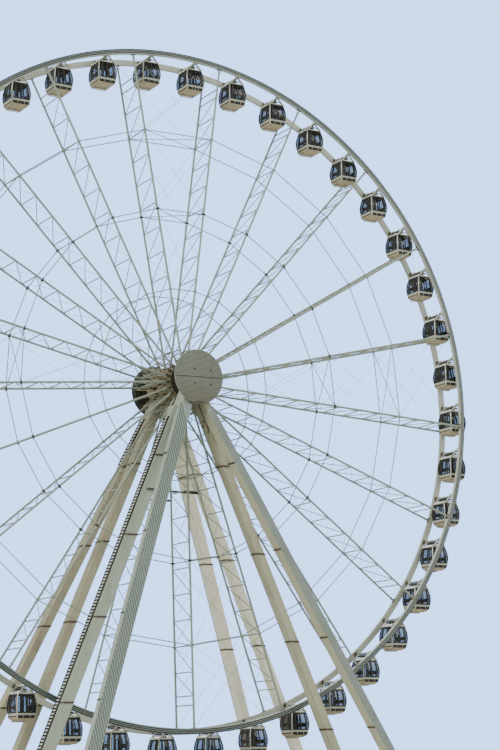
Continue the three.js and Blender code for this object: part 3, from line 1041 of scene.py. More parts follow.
# Heights and widths of a cabin's side, of its roof dome and of its underside, as shares of the full width
CABIN_SIDE = [(ROOF_EDGE, 0.80), (WINDOW_TOP, 0.815), (PANE_TOP, 0.85), (-0.87, 0.895), (-1.02, 0.935),
              (-1.18, 0.97), (-1.32, 0.992), (-1.46, 1.0), (-1.60, 0.998), (-1.75, 0.984), (PANE_FOOT, 0.96),
              (WINDOW_FOOT, 0.938), (BELT_FOOT, 0.908), (VENT_FOOT, 0.85)]
ROOF_DOME = [(ROOF_EDGE - 0.03, 0.80), (-0.51, 0.80), (-0.46, 0.72), (-0.39, 0.56), (-0.345, 0.34),
             (-0.33, 0.12)]
BOWL_LEVELS = [(VENT_FOOT, 0.85), (-2.40, 0.79), (-2.46, 0.71), (-2.51, 0.63), (BOTTOM, 0.55)]
BOWL_CUTS = (0.12, 0.36, 0.60)
GROOVED = (-2.50, -2.30)
GROOVE_EDGE = 0.022
GROOVE_DEPTH = 0.018
FLOOR_RIB_PITCH = 0.14

# The tray that hangs under the floor, behind its middle
TRAY_LOW = Vector((-0.69, 0.12, -2.595))
TRAY_HIGH = Vector((0.36, 0.46, -2.545))
TRAY_EDGE = 0.02

# Slots in the skirts and louvres on the roof unit: how many, where the first is, and their pitch
SLOTS = 8
FIRST_SLOT = -0.70
SLOT_PITCH = 0.2
FIRST_LOUVRE = -0.525
LOUVRE_PITCH = 0.15

AXLE_HALF_LENGTH = 1.272
AXLE_RADIUS = 0.078
HANGER_Y = 0.78
HANGER_FOOT_X = 0.56


def side_share(height):
    """Width of a cabin at a height below its axle, as a share of its full width."""
    for (top, first), (foot, second) in zip(CABIN_SIDE, CABIN_SIDE[1:]):
        if height >= foot:
            part = (height - foot) / (top - foot)
            return second + (first - second) * min(1.0, part)
    return CABIN_SIDE[-1][1]


def add_ring(bm, now, cuts_x, cuts_y, share, height):
    """The edges of a round-cornered outline with extra corners along its sides."""
    made = bmesh.ops.create_grid(bm, x_segments=1, y_segments=1, size=1.0)
    bmesh.ops.scale(bm, vec=(now.half_x, now.half_y, 1), verts=made["verts"])
    bmesh.ops.bevel(bm, geom=made["verts"], offset=now.corner, segments=CORNER_STEPS, profile=0.5,
                    affect="VERTICES", material=-1)
    for cuts, way, half in ((cuts_x, (1, 0, 0), now.half_x), (cuts_y, (0, 1, 0), now.half_y)):
        for cut, sign in product(cuts, (-1, 1)):
            bmesh.ops.bisect_plane(bm, geom=bm.verts[:] + bm.edges[:] + bm.faces[:],
                                   plane_co=Vector(way) * cut * half * sign, plane_no=way)
    inner = [edge for edge in bm.edges if not edge.is_boundary]
    bmesh.ops.delete(bm, geom=bm.faces[:], context="FACES_ONLY")
    bmesh.ops.delete(bm, geom=inner, context="EDGES")
    loose = [vert for vert in bm.verts if not vert.link_edges]
    bmesh.ops.delete(bm, geom=loose, context="VERTS")
    bmesh.ops.scale(bm, vec=(share, share, 1), verts=bm.verts)
    bmesh.ops.translate(bm, vec=(0, 0, height), verts=bm.verts)
    return bm.edges[:]


def draw_down(bm, ring, levels):
    """Draws a ring of edges down through heights and shares of the full width."""
    for (top, first), (foot, second) in zip(levels, levels[1:]):
        made = bmesh.ops.extrude_edge_only(bm, edges=ring)
        verts = made_items(made, BMVert)
        ring = made_items(made, BMEdge)
        bmesh.ops.scale(bm, vec=(second / first, second / first, 1), verts=verts)
        bmesh.ops.translate(bm, vec=(0, 0, foot - top), verts=verts)


def face_kind(now, face):
    """What a face of the cabin's side is part of."""
    middle = face.calc_center_median()
    share = side_share(middle.z)
    across_x = abs(middle.x) / (now.half_x * share)
    across_y = abs(middle.y) / (now.half_y * share)
    at_end = across_y > across_x
    across, panes = (across_x, END_PANES) if at_end else (across_y, SIDE_PANES)
    if PANE_FOOT < middle.z < PANE_TOP and any(low < across < high for low, high in panes):
        return "pane"
    if across > CORNER_POST or middle.z > WINDOW_TOP or BELT_FOOT <= middle.z < WINDOW_FOOT:
        return "body"
    if middle.z < BELT_FOOT:
        return "vent" if at_end else "skirt"
    return "window_frame"


def cabin_sheet(now, kind, thickness, inset):
    """The faces of one kind of the cabin's side, as a sheet with that thickness."""
    bm = bmesh.new()
    end_cuts = [cut for pane in END_PANES for cut in pane]
    side_cuts = [cut for pane in SIDE_PANES for cut in pane if cut > 0]
    draw_down(bm, add_ring(bm, now, end_cuts, side_cuts, CABIN_SIDE[0][1], ROOF_EDGE), CABIN_SIDE)
    bmesh.ops.recalc_face_normals(bm, faces=bm.faces)
    inward = sum(face.normal.dot(Vector((*face.calc_center_median().xy, 0))) < 0 for face in bm.faces)
    if inward > len(bm.faces) / 2:
        bmesh.ops.reverse_faces(bm, faces=bm.faces)
    dropped = [face for face in bm.faces if face_kind(now, face) != kind]
    bmesh.ops.delete(bm, geom=dropped, context="FACES")
    bmesh.ops.scale(bm, vec=(1 - inset / now.half_x, 1 - inset / now.half_y, 1), verts=bm.verts)
    bmesh.ops.solidify(bm, geom=bm.verts[:] + bm.edges[:] + bm.faces[:], thickness=thickness)
    return bm


def add_plate_ring(bm, now, height, share, thickness, top_share=None):
    """A closed plate that fills the cabin's outline at a height, wider or narrower at its top."""
    part = bmesh.new()
    bmesh.ops.contextual_create(part, geom=add_ring(part, now, (), (), share, height))
    moved = made_items(bmesh.ops.extrude_face_region(part, geom=part.faces[:]), BMVert)
    bmesh.ops.translate(part, vec=(0, 0, thickness), verts=moved)
    if top_share:
        bmesh.ops.scale(part, vec=(top_share / share, top_share / share, 1), verts=moved)
    stamp_all(bm, part)


def cabin_frame(now):
    """Cream corner posts, roof rail and belt, with two pins over the vents at each end."""
    bm = cabin_sheet(now, "body", now.skin, 0.0)
    for side, x in product((-1, 1), (-0.28, 0.28)):
        y = side * now.half_y * (side_share(BELT_FOOT) - 0.01)
        add_post(bm, x, y, 0.012, 0.012, VENT_FOOT + 0.03, BELT_FOOT)
    return bm


def cabin_roof(now):
    """Low pale dome over the cabin's rail, and the pale tray under its floor."""
    bm = bmesh.new()
    add_block(bm, TRAY_LOW, TRAY_HIGH, 0.012)
    for (low, wide), (high, narrow) in zip(ROOF_DOME, ROOF_DOME[1:]):
        add_plate_ring(bm, now, low, wide, high - low, narrow)
    return bm


def cabin_dark(now):
    """Dark window frames, the vents under the belt, the tray's rim, and a dark hanger slab over the tray that
    is also painted shade in the gap.
    """
    bm = cabin_sheet(now, "window_frame", 0.03, 0.012)
    stamp_all(bm, cabin_sheet(now, "vent", 0.03, 0.02))
    for side, slot in product((-1, 1), range(SLOTS)):
        add_post(bm, side * now.half_x * 0.885, FIRST_SLOT + slot * SLOT_PITCH, 0.03, 0.055, -2.27, -2.18)
    low, high, edge = TRAY_LOW, TRAY_HIGH, TRAY_EDGE
    for y in (low.y, high.y):
        add_block(bm, (low.x - edge, y - edge, low.z - 0.012), (high.x + edge, y + edge, low.z + 0.012))
    for x in (low.x, high.x):
        add_block(bm, (x - edge, low.y, low.z - 0.012), (x + edge, high.y, low.z + 0.012))
    # Dark slab between the tray and the floor: a hanger and painted shade in the gap
    add_block(bm, (low.x + edge, low.y + edge, high.z - 0.005),
              (high.x - edge, high.y - edge, BOTTOM + 0.005))
    return bm


def cabin_glass(now):
    """The panes, let into their frames."""
    return cabin_sheet(now, "pane", now.glass, 0.03)


def cabin_bowl(now):
    """Ribbed underside that tapers from the belt's outline to a flat floor, and the skirts at the flanks."""
    bm = bmesh.new()
    draw_down(bm, add_ring(bm, now, BOWL_CUTS, BOWL_CUTS, BOWL_LEVELS[0][1], VENT_FOOT), BOWL_LEVELS)
    bmesh.ops.recalc_face_normals(bm, faces=bm.faces)
    grooved = [face for face in bm.faces if GROOVED[0] < face.calc_center_median().z < GROOVED[1]]
    bmesh.ops.inset_individual(bm, faces=grooved, thickness=GROOVE_EDGE, depth=-GROOVE_DEPTH,
                               use_even_offset=True)
    for height in (VENT_FOOT, BOTTOM):
        rim = [edge for edge in bm.edges if edge.is_boundary and abs(edge.verts[0].co.z - height) < 0.01]
        bmesh.ops.contextual_create(bm, geom=rim)
    for index in range(-3, 4):
        add_post(bm, 0, index * FLOOR_RIB_PITCH, 0.42, 0.016, BOTTOM - 0.015, BOTTOM + 0.01)
    stamp_all(bm, cabin_sheet(now, "skirt", 0.04, 0.0))
    return bm


def cabin_roof_gear(now):
    """Dark bar under the axle, a beam that is also the axle's painted shade, braces in front of the roof, and
    the louvred unit on the roof.
    """
    bm = bmesh.new()
    # The dark bar is a beam under the axle and painted shade of its underside
    add_post(bm, 0, 0, 0.055, 0.62, -0.155, -0.09, 0.01)
    for y, sign in product((-0.72, 0.72), (-1, 1)):
        add_bar(bm, (sign * 0.05, y, -0.29), (sign * 0.52, y, -0.44), 0.035, 0.035)
    add_post(bm, -0.05, 0, 0.25, 0.62, -0.30, -0.19, 0.02)
    for row in range(SLOTS):
        add_post(bm, -0.05, FIRST_LOUVRE + row * LOUVRE_PITCH, 0.26, 0.02, -0.285, -0.205)
    return bm


def cabin_hangers(now):
    """Cream brackets from the roof up to the axle at both ends, the axle and its collars."""
    bm = bmesh.new()
    add_rod(bm, (0, -AXLE_HALF_LENGTH, 0), (0, AXLE_HALF_LENGTH, 0), AXLE_RADIUS, 16)
    for side in (-1, 1):
        y = side * HANGER_Y
        for sign in (-1, 1):
            x = sign * HANGER_FOOT_X
            add_bar(bm, (x, y, ROOF_EDGE + 0.03), (sign * 0.05, y, 0.03), 0.13, 0.09, 0.012)
            add_post(bm, x, y, 0.10, 0.09, ROOF_EDGE + 0.01, ROOF_EDGE + 0.07, 0.01)
        add_rod(bm, (0, y - 0.07, 0), (0, y + 0.07, 0), 0.15, 20)
        add_bar(bm, (-0.36, y, -0.36), (0.36, y, -0.36), 0.07, 0.05, 0.01)
        add_rod(bm, (0, side * 1.02, 0), (0, side * 1.08, 0), 0.115, 16)
    return bm


def cabin_seats(now):
    """Two facing benches, the floor, the ceiling and the lining of the posts, seen through the glass."""
    bm = bmesh.new()
    for height in (VENT_FOOT + 0.02, ROOF_EDGE - 0.07):
        add_plate_ring(bm, now, height, 0.80, 0.04)
    for side in (-1, 1):
        back = side * 0.695
        add_post(bm, side * 0.50, 0, 0.20, 0.72, -2.14, -2.03, 0.03)
        add_post(bm, back, 0, 0.035, 0.76, -1.72, -1.42, 0.03)
        for y in (-0.6, 0.6):
            add_post(bm, back, y, 0.035, 0.03, -2.06, -1.5)
    stamp_all(bm, cabin_sheet(now, "body", 0.01, now.skin + 0.008))
    return bm


CABIN_PARTS = (
    ("frame", "cabin_paint", cabin_frame),
    ("roof", "cabin_roof", cabin_roof),
    ("glass", "cabin_glass", cabin_glass),
    ("window_frames", "seal_rubber", cabin_dark),
    ("bowl", "cabin_bowl", cabin_bowl),
    ("roof_gear", "dark_steel", cabin_roof_gear),
    ("hangers", "cabin_paint", cabin_hangers),
    ("seats", "cabin_seat", cabin_seats),
)


class WHEEL_OT_cabins(bpy.types.Operator):
    """Makes the closed cabins, each from the same eight parts"""
    bl_idname = "wheel.cabins"
    bl_label = "Make the cabins"

    def execute(self, context):
        templates = []
        for part, slot, make in CABIN_PARTS:
            bm = make(context.scene.cabin_sizes)
            bmesh.ops.scale(bm, vec=(SCALE, SCALE, SCALE), verts=bm.verts)
            if part != "glass":
                bmesh.ops.recalc_face_normals(bm, faces=bm.faces)
            shade(bm, CABIN_SMOOTH_ANGLE)
            templates.append((part, slot, as_mesh(bm, "cabin_" + part)))
        for cabin, (part, slot, template) in product(CABINS, templates):
            mesh = template.copy()
            mesh.transform(Matrix.Translation(cabin_axle(cabin) * SCALE))
            place_piece(mesh, f"{cabin}_{part}", cabin, slot, [cabin] if part == "frame" else [])
        for _, _, template in templates:
            bpy.data.meshes.remove(template)
        return {"FINISHED"}


# Legs: their dimensions below the hub, as in the frame

LEG_WIDTH = 0.72
LEG_DEPTH = 0.95
LEG_SPREAD = 0.429
OUTER_LEG = (2.285, 0.265)
INNER_LEG = (2.15, 0.02)
FOOT_DROP = HUB.z - 0.6
SECTION_LENGTH = {-1: 6.25, 1: 6.75}
WELD_DISTANCE = 0.0005
CHAMFER = 0.012
CHAMFER_ANGLE = math.radians(40)
COLLAR_OUT = 0.05
COLLAR_THICKNESS = 0.04
COLLAR_LIFT = 0.028
SEAM_OUT = 0.01
SEAM_THICKNESS = 0.025
ANCHOR_X = (-0.55, 0.55)
ANCHOR_Y = (-0.55, -0.18, 0.18, 0.55)
GUSSET_X = (-0.24, 0.0, 0.24)
SEAM_DROPS = (2.6, 4.4, 8.2, 10.3, 14.4, 16.5, 20.5, 22.6, 26.7, 28.7)

DUCT_WIDTH = 0.35
DUCT_OUT = 0.04
DUCT_TOP = 2.2
DUCT_FOOT = FOOT_DROP - 0.9
RUNG_PITCH = 0.24

# Left and right edge of each light panel across its leg, how far below the hub it starts, and the
# strips' run across the leg for each metre down
PANELS = {
    (-1, -1): (-0.56, 0.44, 2.1, 0.53),
    (1, -1): (-0.31, 0.36, 2.35, -1.17),
    (-1, 1): (-0.34, 0.34, 2.2, 1.17),
    (1, 1): (-0.34, 0.34, 2.2, -0.53),
}
PANEL_FOOT = FOOT_DROP - 1.2
STRIP_PITCH = 0.20
STRIP_WIDTH = 0.08
STRIP_OUT = LEG_DEPTH / 2 + 0.075

# Dark studs on the front right inner leg: below the hub, across the leg, and outboard of its middle
LEG_STUDS = ((3.62, -0.39, -0.10), (4.12, -0.39, 0.35), (4.75, -0.02, 0.50), (3.3, -0.39, 0.2))

# Level beams between the rear legs: below the hub, and where they end as shares of the legs' spread
SERVICE_BEAMS = ((8.2, -0.53, 1.0), (8.95, -0.42, 0.2))
STAND_DROP = 8.1
STAND_X = (2.05, 2.95)
STAND_Y = 0.35
STAND_RAIL_HEIGHTS = (0.55, 1.1)


def leg_point(side_x, side_y, leg, drop, across=0.0, out=0.0):
    """A place on a leg: metres below the hub, across its width, and outboard of its middle."""
    offset, lean = leg
    return Vector((side_x * LEG_SPREAD * drop + across, side_y * (offset + lean * drop + out), HUB.z - drop))


def leg_matrix(side_x, side_y, leg, drop):
    """Matrix whose Z runs up the leg, with its level section kept square to X and Y."""
    offset, lean = leg
    return Matrix(((1, 0, -side_x * LEG_SPREAD, side_x * LEG_SPREAD * drop),
                   (0, 1, -side_y * lean, side_y * (offset + lean * drop)),
                   (0, 0, 1, HUB.z - drop),
                   (0, 0, 0, 1)))


def section_joints(side_x, last):
    """How far below the hub the joints between a leg's sections are, down to the last."""
    step = SECTION_LENGTH[side_x]
    return [step * number for number in range(1, math.ceil(last / step))]


class WHEEL_OT_legs(bpy.types.Operator):
    """Dresses the sloping legs with collars, seams, light panels, a ladder and feet"""
    bl_idname = "wheel.legs"
    bl_label = "Dress the legs"

    def execute(self, context):
        for (side_x, left), (side_y, front) in product(((-1, "left"), (1, "right")), SIDES):
            corner = (side_x, side_y)
            name = f"{front}_{left}"
            self.soften(frame["nodes"][name + "_legs"])
            self.collars(corner, name)
            self.panels(corner, name)
            self.feet(corner, name)
        self.duct((-1, -1), "front_left")
        self.ladder((-1, -1), "front_left", INNER_LEG, LEG_WIDTH / 2 + DUCT_WIDTH, 0.05, 3.1, FOOT_DROP - 1.0)
        self.ladder((-1, 1), "rear_left", OUTER_LEG, LEG_WIDTH / 2, 0.16, 2.4, 6.0)
        self.pipe_and_studs()
        self.service_stand()
        return {"FINISHED"}

    def soften(self, piece):
        """Small chamfers on one of the frame's own nodes."""
        weld = piece.modifiers.new("weld", "WELD")
        weld.merge_threshold = WELD_DISTANCE
        bevel = piece.modifiers.new("chamfer", "BEVEL")
        bevel.width = CHAMFER
        bevel.segments = 1
        bevel.limit_method = "ANGLE"
        bevel.angle_limit = CHAMFER_ANGLE

    def collars(self, corner, name):
        """Bolted flange pairs between the legs' sections, and thin weld seams."""
        bm = bmesh.new()
        seams = bmesh.new()
        bolt_x, bolt_y = LEG_WIDTH / 2 + 0.03, LEG_DEPTH / 2 + 0.03
        bolts = [*product((-0.27, -0.09, 0.09, 0.27), (-bolt_y, bolt_y)),
                 *product((-bolt_x, bolt_x), (-0.3, 0.0, 0.3))]
        for leg in (OUTER_LEG, INNER_LEG):
            for drop in section_joints(corner[0], FOOT_DROP - 2):
                at = leg_matrix(*corner, leg, drop)
                for lift in (-COLLAR_LIFT, COLLAR_LIFT):
                    add_box(bm, (LEG_WIDTH + 2 * COLLAR_OUT, LEG_DEPTH + 2 * COLLAR_OUT, COLLAR_THICKNESS),
                            at, 0.006, (0, 0, lift))
                for x, y in bolts:
                    add_bolt(bm, x, y, -0.08, 0.08, 0.02, at=at)
            for drop in SEAM_DROPS:
                add_box(seams, (LEG_WIDTH + 2 * SEAM_OUT, LEG_DEPTH + 2 * SEAM_OUT, SEAM_THICKNESS),
                        leg_matrix(*corner, leg, drop))
        finish_piece(bm, name + "_leg_collars", "collar_steel")
        finish_piece(seams, name + "_leg_seams", LEG_FINISH[name])

    def panels(self, corner, name):
        """Light panel on the outer leg's outboard face, with slanted strips."""
        bm = bmesh.new()
        strips = bmesh.new()
        side_y = corner[1]
        left, right, top, slant = PANELS[corner]
        tall = PANEL_FOOT - top
        at = leg_matrix(*corner, OUTER_LEG, (top + PANEL_FOOT) / 2)
        add_box(bm, (right - left, 0.05, tall), at, 0.01,
                ((left + right) / 2, side_y * (LEG_DEPTH / 2 + 0.045), 0))
        for edge in (left, right):
            add_box(bm, (0.03, 0.07, tall), at, 0.006, (edge, side_y * (LEG_DEPTH / 2 + 0.06), 0))
        rise = (right - left) / abs(slant)
        low, high = (left, right) if slant > 0 else (right, left)
        drop = top + 0.05
        while drop + rise < PANEL_FOOT:
            start = leg_point(*corner, OUTER_LEG, drop, low, STRIP_OUT)
            end = leg_point(*corner, OUTER_LEG, drop + rise, high, STRIP_OUT)
            way = (end - start).normalized()
            across = way.cross(Vector((0, side_y, 0.0))).normalized()
            turn = Matrix((across, way.cross(across), way)).transposed().to_4x4()
            add_box(strips, (STRIP_WIDTH, 0.03, (end - start).length - 0.08),
                    Matrix.Translation((start + end) / 2) @ turn)
            drop += STRIP_PITCH / abs(slant)
        finish_piece(bm, name + "_light_panel", "light_panel")
        finish_piece(strips, name + "_light_strips", "light_tube")

    def feet(self, corner, name):
        """Gussets and anchor bolts at the feet of both legs."""
        bm = bmesh.new()
        for leg in (OUTER_LEG, INNER_LEG):
            foot = leg_matrix(*corner, leg, FOOT_DROP)
            for x, y in product(ANCHOR_X, ANCHOR_Y):
                add_bolt(bm, x, y, 0.1, 0.20, 0.05, at=foot)
                add_bolt(bm, x, y, 0.19, 0.28, 0.025, 8, foot)
            for x, side in product(GUSSET_X, (-1, 1)):
                add_bar(bm, foot @ Vector((x, side * (LEG_DEPTH / 2 + 0.09), 0.12)),
                        foot @ Vector((x, side * (LEG_DEPTH / 2 + 0.01), 0.55)), 0.03, 0.16)
        finish_piece(bm, name + "_leg_anchors", "base_steel")

    def duct(self, corner, name):
        """Flat duct that widens the inner leg's outer side, with a collar at each joint of the leg."""
        bm = bmesh.new()
        collars = bmesh.new()
        side_x, side_y = corner
        place = (side_x * (LEG_WIDTH + DUCT_WIDTH) / 2, side_y * DUCT_OUT, 0)
        at = leg_matrix(*corner, INNER_LEG, (DUCT_TOP + DUCT_FOOT) / 2)
        add_box(bm, (DUCT_WIDTH, LEG_DEPTH - 0.08, DUCT_FOOT - DUCT_TOP), at, 0.01, place)
        for drop in section_joints(side_x, DUCT_FOOT - 1):
            add_box(collars, (DUCT_WIDTH + 0.06, LEG_DEPTH + 0.02, 0.09),
                    leg_matrix(*corner, INNER_LEG, drop), 0.006, place)
        finish_piece(bm, name + "_leg_duct", LEG_FINISH[name])
        finish_piece(collars, name + "_duct_collars", "collar_steel")

    def ladder(self, corner, name, leg, face, out, top, bottom):
        """Ladder up a leg's side: pale rungs between dark rails, on a dark backing."""
        pale = bmesh.new()
        dark = bmesh.new()
        side_x, side_y = corner
        half = bpy.context.scene.ground_sizes.ladder_width / 2
        tall = bottom - top
        middle = side_y * out
        at = leg_matrix(*corner, leg, (top + bottom) / 2)
        add_box(dark, (0.03, 2 * half + 0.3, tall), at, 0.0, (side_x * (face + 0.012), middle, 0))
        for rail in (-1, 1):
            add_box(dark, (0.12, 0.11, tall), at, 0.01,
                    (side_x * (face + 0.07), middle + rail * (half + 0.09), 0))
        for rung in range(int(tall / RUNG_PITCH)):
            add_box(pale, (0.05, 2 * half, 0.11), leg_matrix(*corner, leg, top + (rung + 0.5) * RUNG_PITCH),
                    0.01, (side_x * (face + 0.09), middle, 0))
        finish_piece(pale, name + "_ladder_rungs", "cabin_roof")
        finish_piece(dark, name + "_ladder_rails", "dark_steel")

    def pipe_and_studs(self):
        """Brown pipe down the front right inner leg's edge, and dark studs and a bar on the inner legs."""
        pipe = bmesh.new()
        studs = bmesh.new()
        edge = (-LEG_WIDTH / 2, LEG_DEPTH / 2)
        add_rod(pipe, leg_point(1, -1, INNER_LEG, 1.7, *edge), leg_point(1, -1, INNER_LEG, 4.0, *edge),
                0.06, 8)
        for place in LEG_STUDS:
            add_box(studs, (0.12, 0.12, 0.16), Matrix.Translation(leg_point(1, -1, INNER_LEG, *place)), 0.03)
        left, right = (leg_point(-1, -1, INNER_LEG, 8.96, x, LEG_DEPTH / 2 + 0.05) for x in (-0.34, 0.30))
        add_bar(studs, left, right, 0.14, 0.12, 0.02)
        finish_piece(pipe, "front_right_leg_pipe", "collar_steel")
        finish_piece(studs, "front_leg_studs", "dark_steel")

    def service_stand(self):
        """Level beams between the rear legs under the hub, with a small railed stand."""
        beams = bmesh.new()
        for drop, first, last in SERVICE_BEAMS:
            add_bar(beams, leg_point(first, 1, INNER_LEG, drop), leg_point(last, 1, INNER_LEG, drop),
                    0.18, 0.16, 0.01)
        finish_piece(beams, "rear_service_beams", "dark_steel")
        rails = bmesh.new()
        middle = leg_point(0, 1, INNER_LEG, STAND_DROP)
        left, right = STAND_X
        for x, y in product(STAND_X, (-STAND_Y, STAND_Y)):
            foot = middle + Vector((x, y, 0))
            add_rod(rails, foot, foot + Vector((0, 0, STAND_RAIL_HEIGHTS[-1])), 0.025, 8)
        outline = ((left, -STAND_Y), (right, -STAND_Y), (right, STAND_Y), (left, STAND_Y), (left, -STAND_Y))
        for height in STAND_RAIL_HEIGHTS:
            add_path(rails, [middle + Vector((x, y, height)) for x, y in outline], 0.022)
        add_block(rails, middle + Vector((left - 0.1, -STAND_Y - 0.07, -0.02)),
                  middle + Vector((right + 0.1, STAND_Y + 0.07, 0.03)), 0.01)
        finish_piece(rails, "rear_service_stand", "rail_metal")


# Ground frame

SILL_WIDTH = 1.1
SILL_BAYS = 16
SPLICE_PLACES = (-6.6, 0.0, 6.6)
FIRST_RIB = 0.3
FLANGE_HEIGHT = 0.03


class WHEEL_OT_base(bpy.types.Operator):
    """Dresses the ground frame with stiffeners, splice plates and bolts"""
    bl_idname = "wheel.base"
    bl_label = "Dress the ground frame"

    def execute(self, context):
        low, high = (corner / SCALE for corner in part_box("base_frame"))
        bm = bmesh.new()
        splices = bmesh.new()
        for side in (-1, 1):
            middle = side * (high.x - SILL_WIDTH / 2)
            self.stiffeners(bm, middle, low, high)
            for y in SPLICE_PLACES:
                add_post(splices, middle, y, 0.4, 0.35, high.z - 0.005, high.z + 0.03, 0.006)
                for across, along in product((-0.3, 0.0, 0.3), (-0.25, 0.25)):
                    add_bolt(splices, middle + across, y + along, high.z + 0.02, high.z + 0.07, 0.035)
        finish_piece(bm, "sill_stiffeners", "base_steel")
        finish_piece(splices, "sill_splices", "collar_steel")
        return {"FINISHED"}

    def stiffeners(self, bm, middle, low, high):
        """Upright ribs in bays along both sides of a sill, between its top and bottom flanges."""
        for index, face in product(range(SILL_BAYS + 1), (-1, 1)):
            y = low.y + FIRST_RIB + index * (high.y - low.y - 2 * FIRST_RIB) / SILL_BAYS
            add_post(bm, middle + face * (SILL_WIDTH / 2 - 0.012), y, 0.02, 0.02, 0.06, high.z - 0.06)
        for face, z in product((-1, 1), (FLANGE_HEIGHT, high.z - FLANGE_HEIGHT)):
            x = middle + face * (SILL_WIDTH / 2 - 0.01)
            add_block(bm, (x - 0.035, low.y + 0.02, z - 0.025), (x + 0.035, high.y - 0.02, z + 0.025), 0.006)


# Boarding deck: half its width and length, its height, and its stairs

DECK_X = 5.0
DECK_Y = 4.8
DECK_TOP = 2.7
DECK_PLATES = 8
STAIR_RISERS = 14
STAIR_GOING = 0.28
STAIR_HALF_WIDTH = 1.96
STRINGER_X = 1.98
STAIR_FOOT_Y = -DECK_Y - (STAIR_RISERS - 1) * STAIR_GOING
POST_BAYS = 4
SILL_TIE_Y = 2.792
SILL_TIE_TOP = 0.6
RAIL_X = DECK_X - 0.08
RAIL_Y = DECK_Y - 0.08
RAIL_SHARES = (0.12, 0.56)
BALUSTER_PITCH = 0.16
BALUSTER_RADIUS = 0.009
PLATE_THICKNESS = 0.03
PLATE_GAP = 0.006
TREAD_THICKNESS = 0.04
BOARDING_GAP = 1.7
BOARDING_X = 2.6
STAIR_GAP = 2.0


def post_x(column):
    """Where a row of the deck's posts stands."""
    return (2 * DECK_X - 0.5) * (column / POST_BAYS - 0.5)


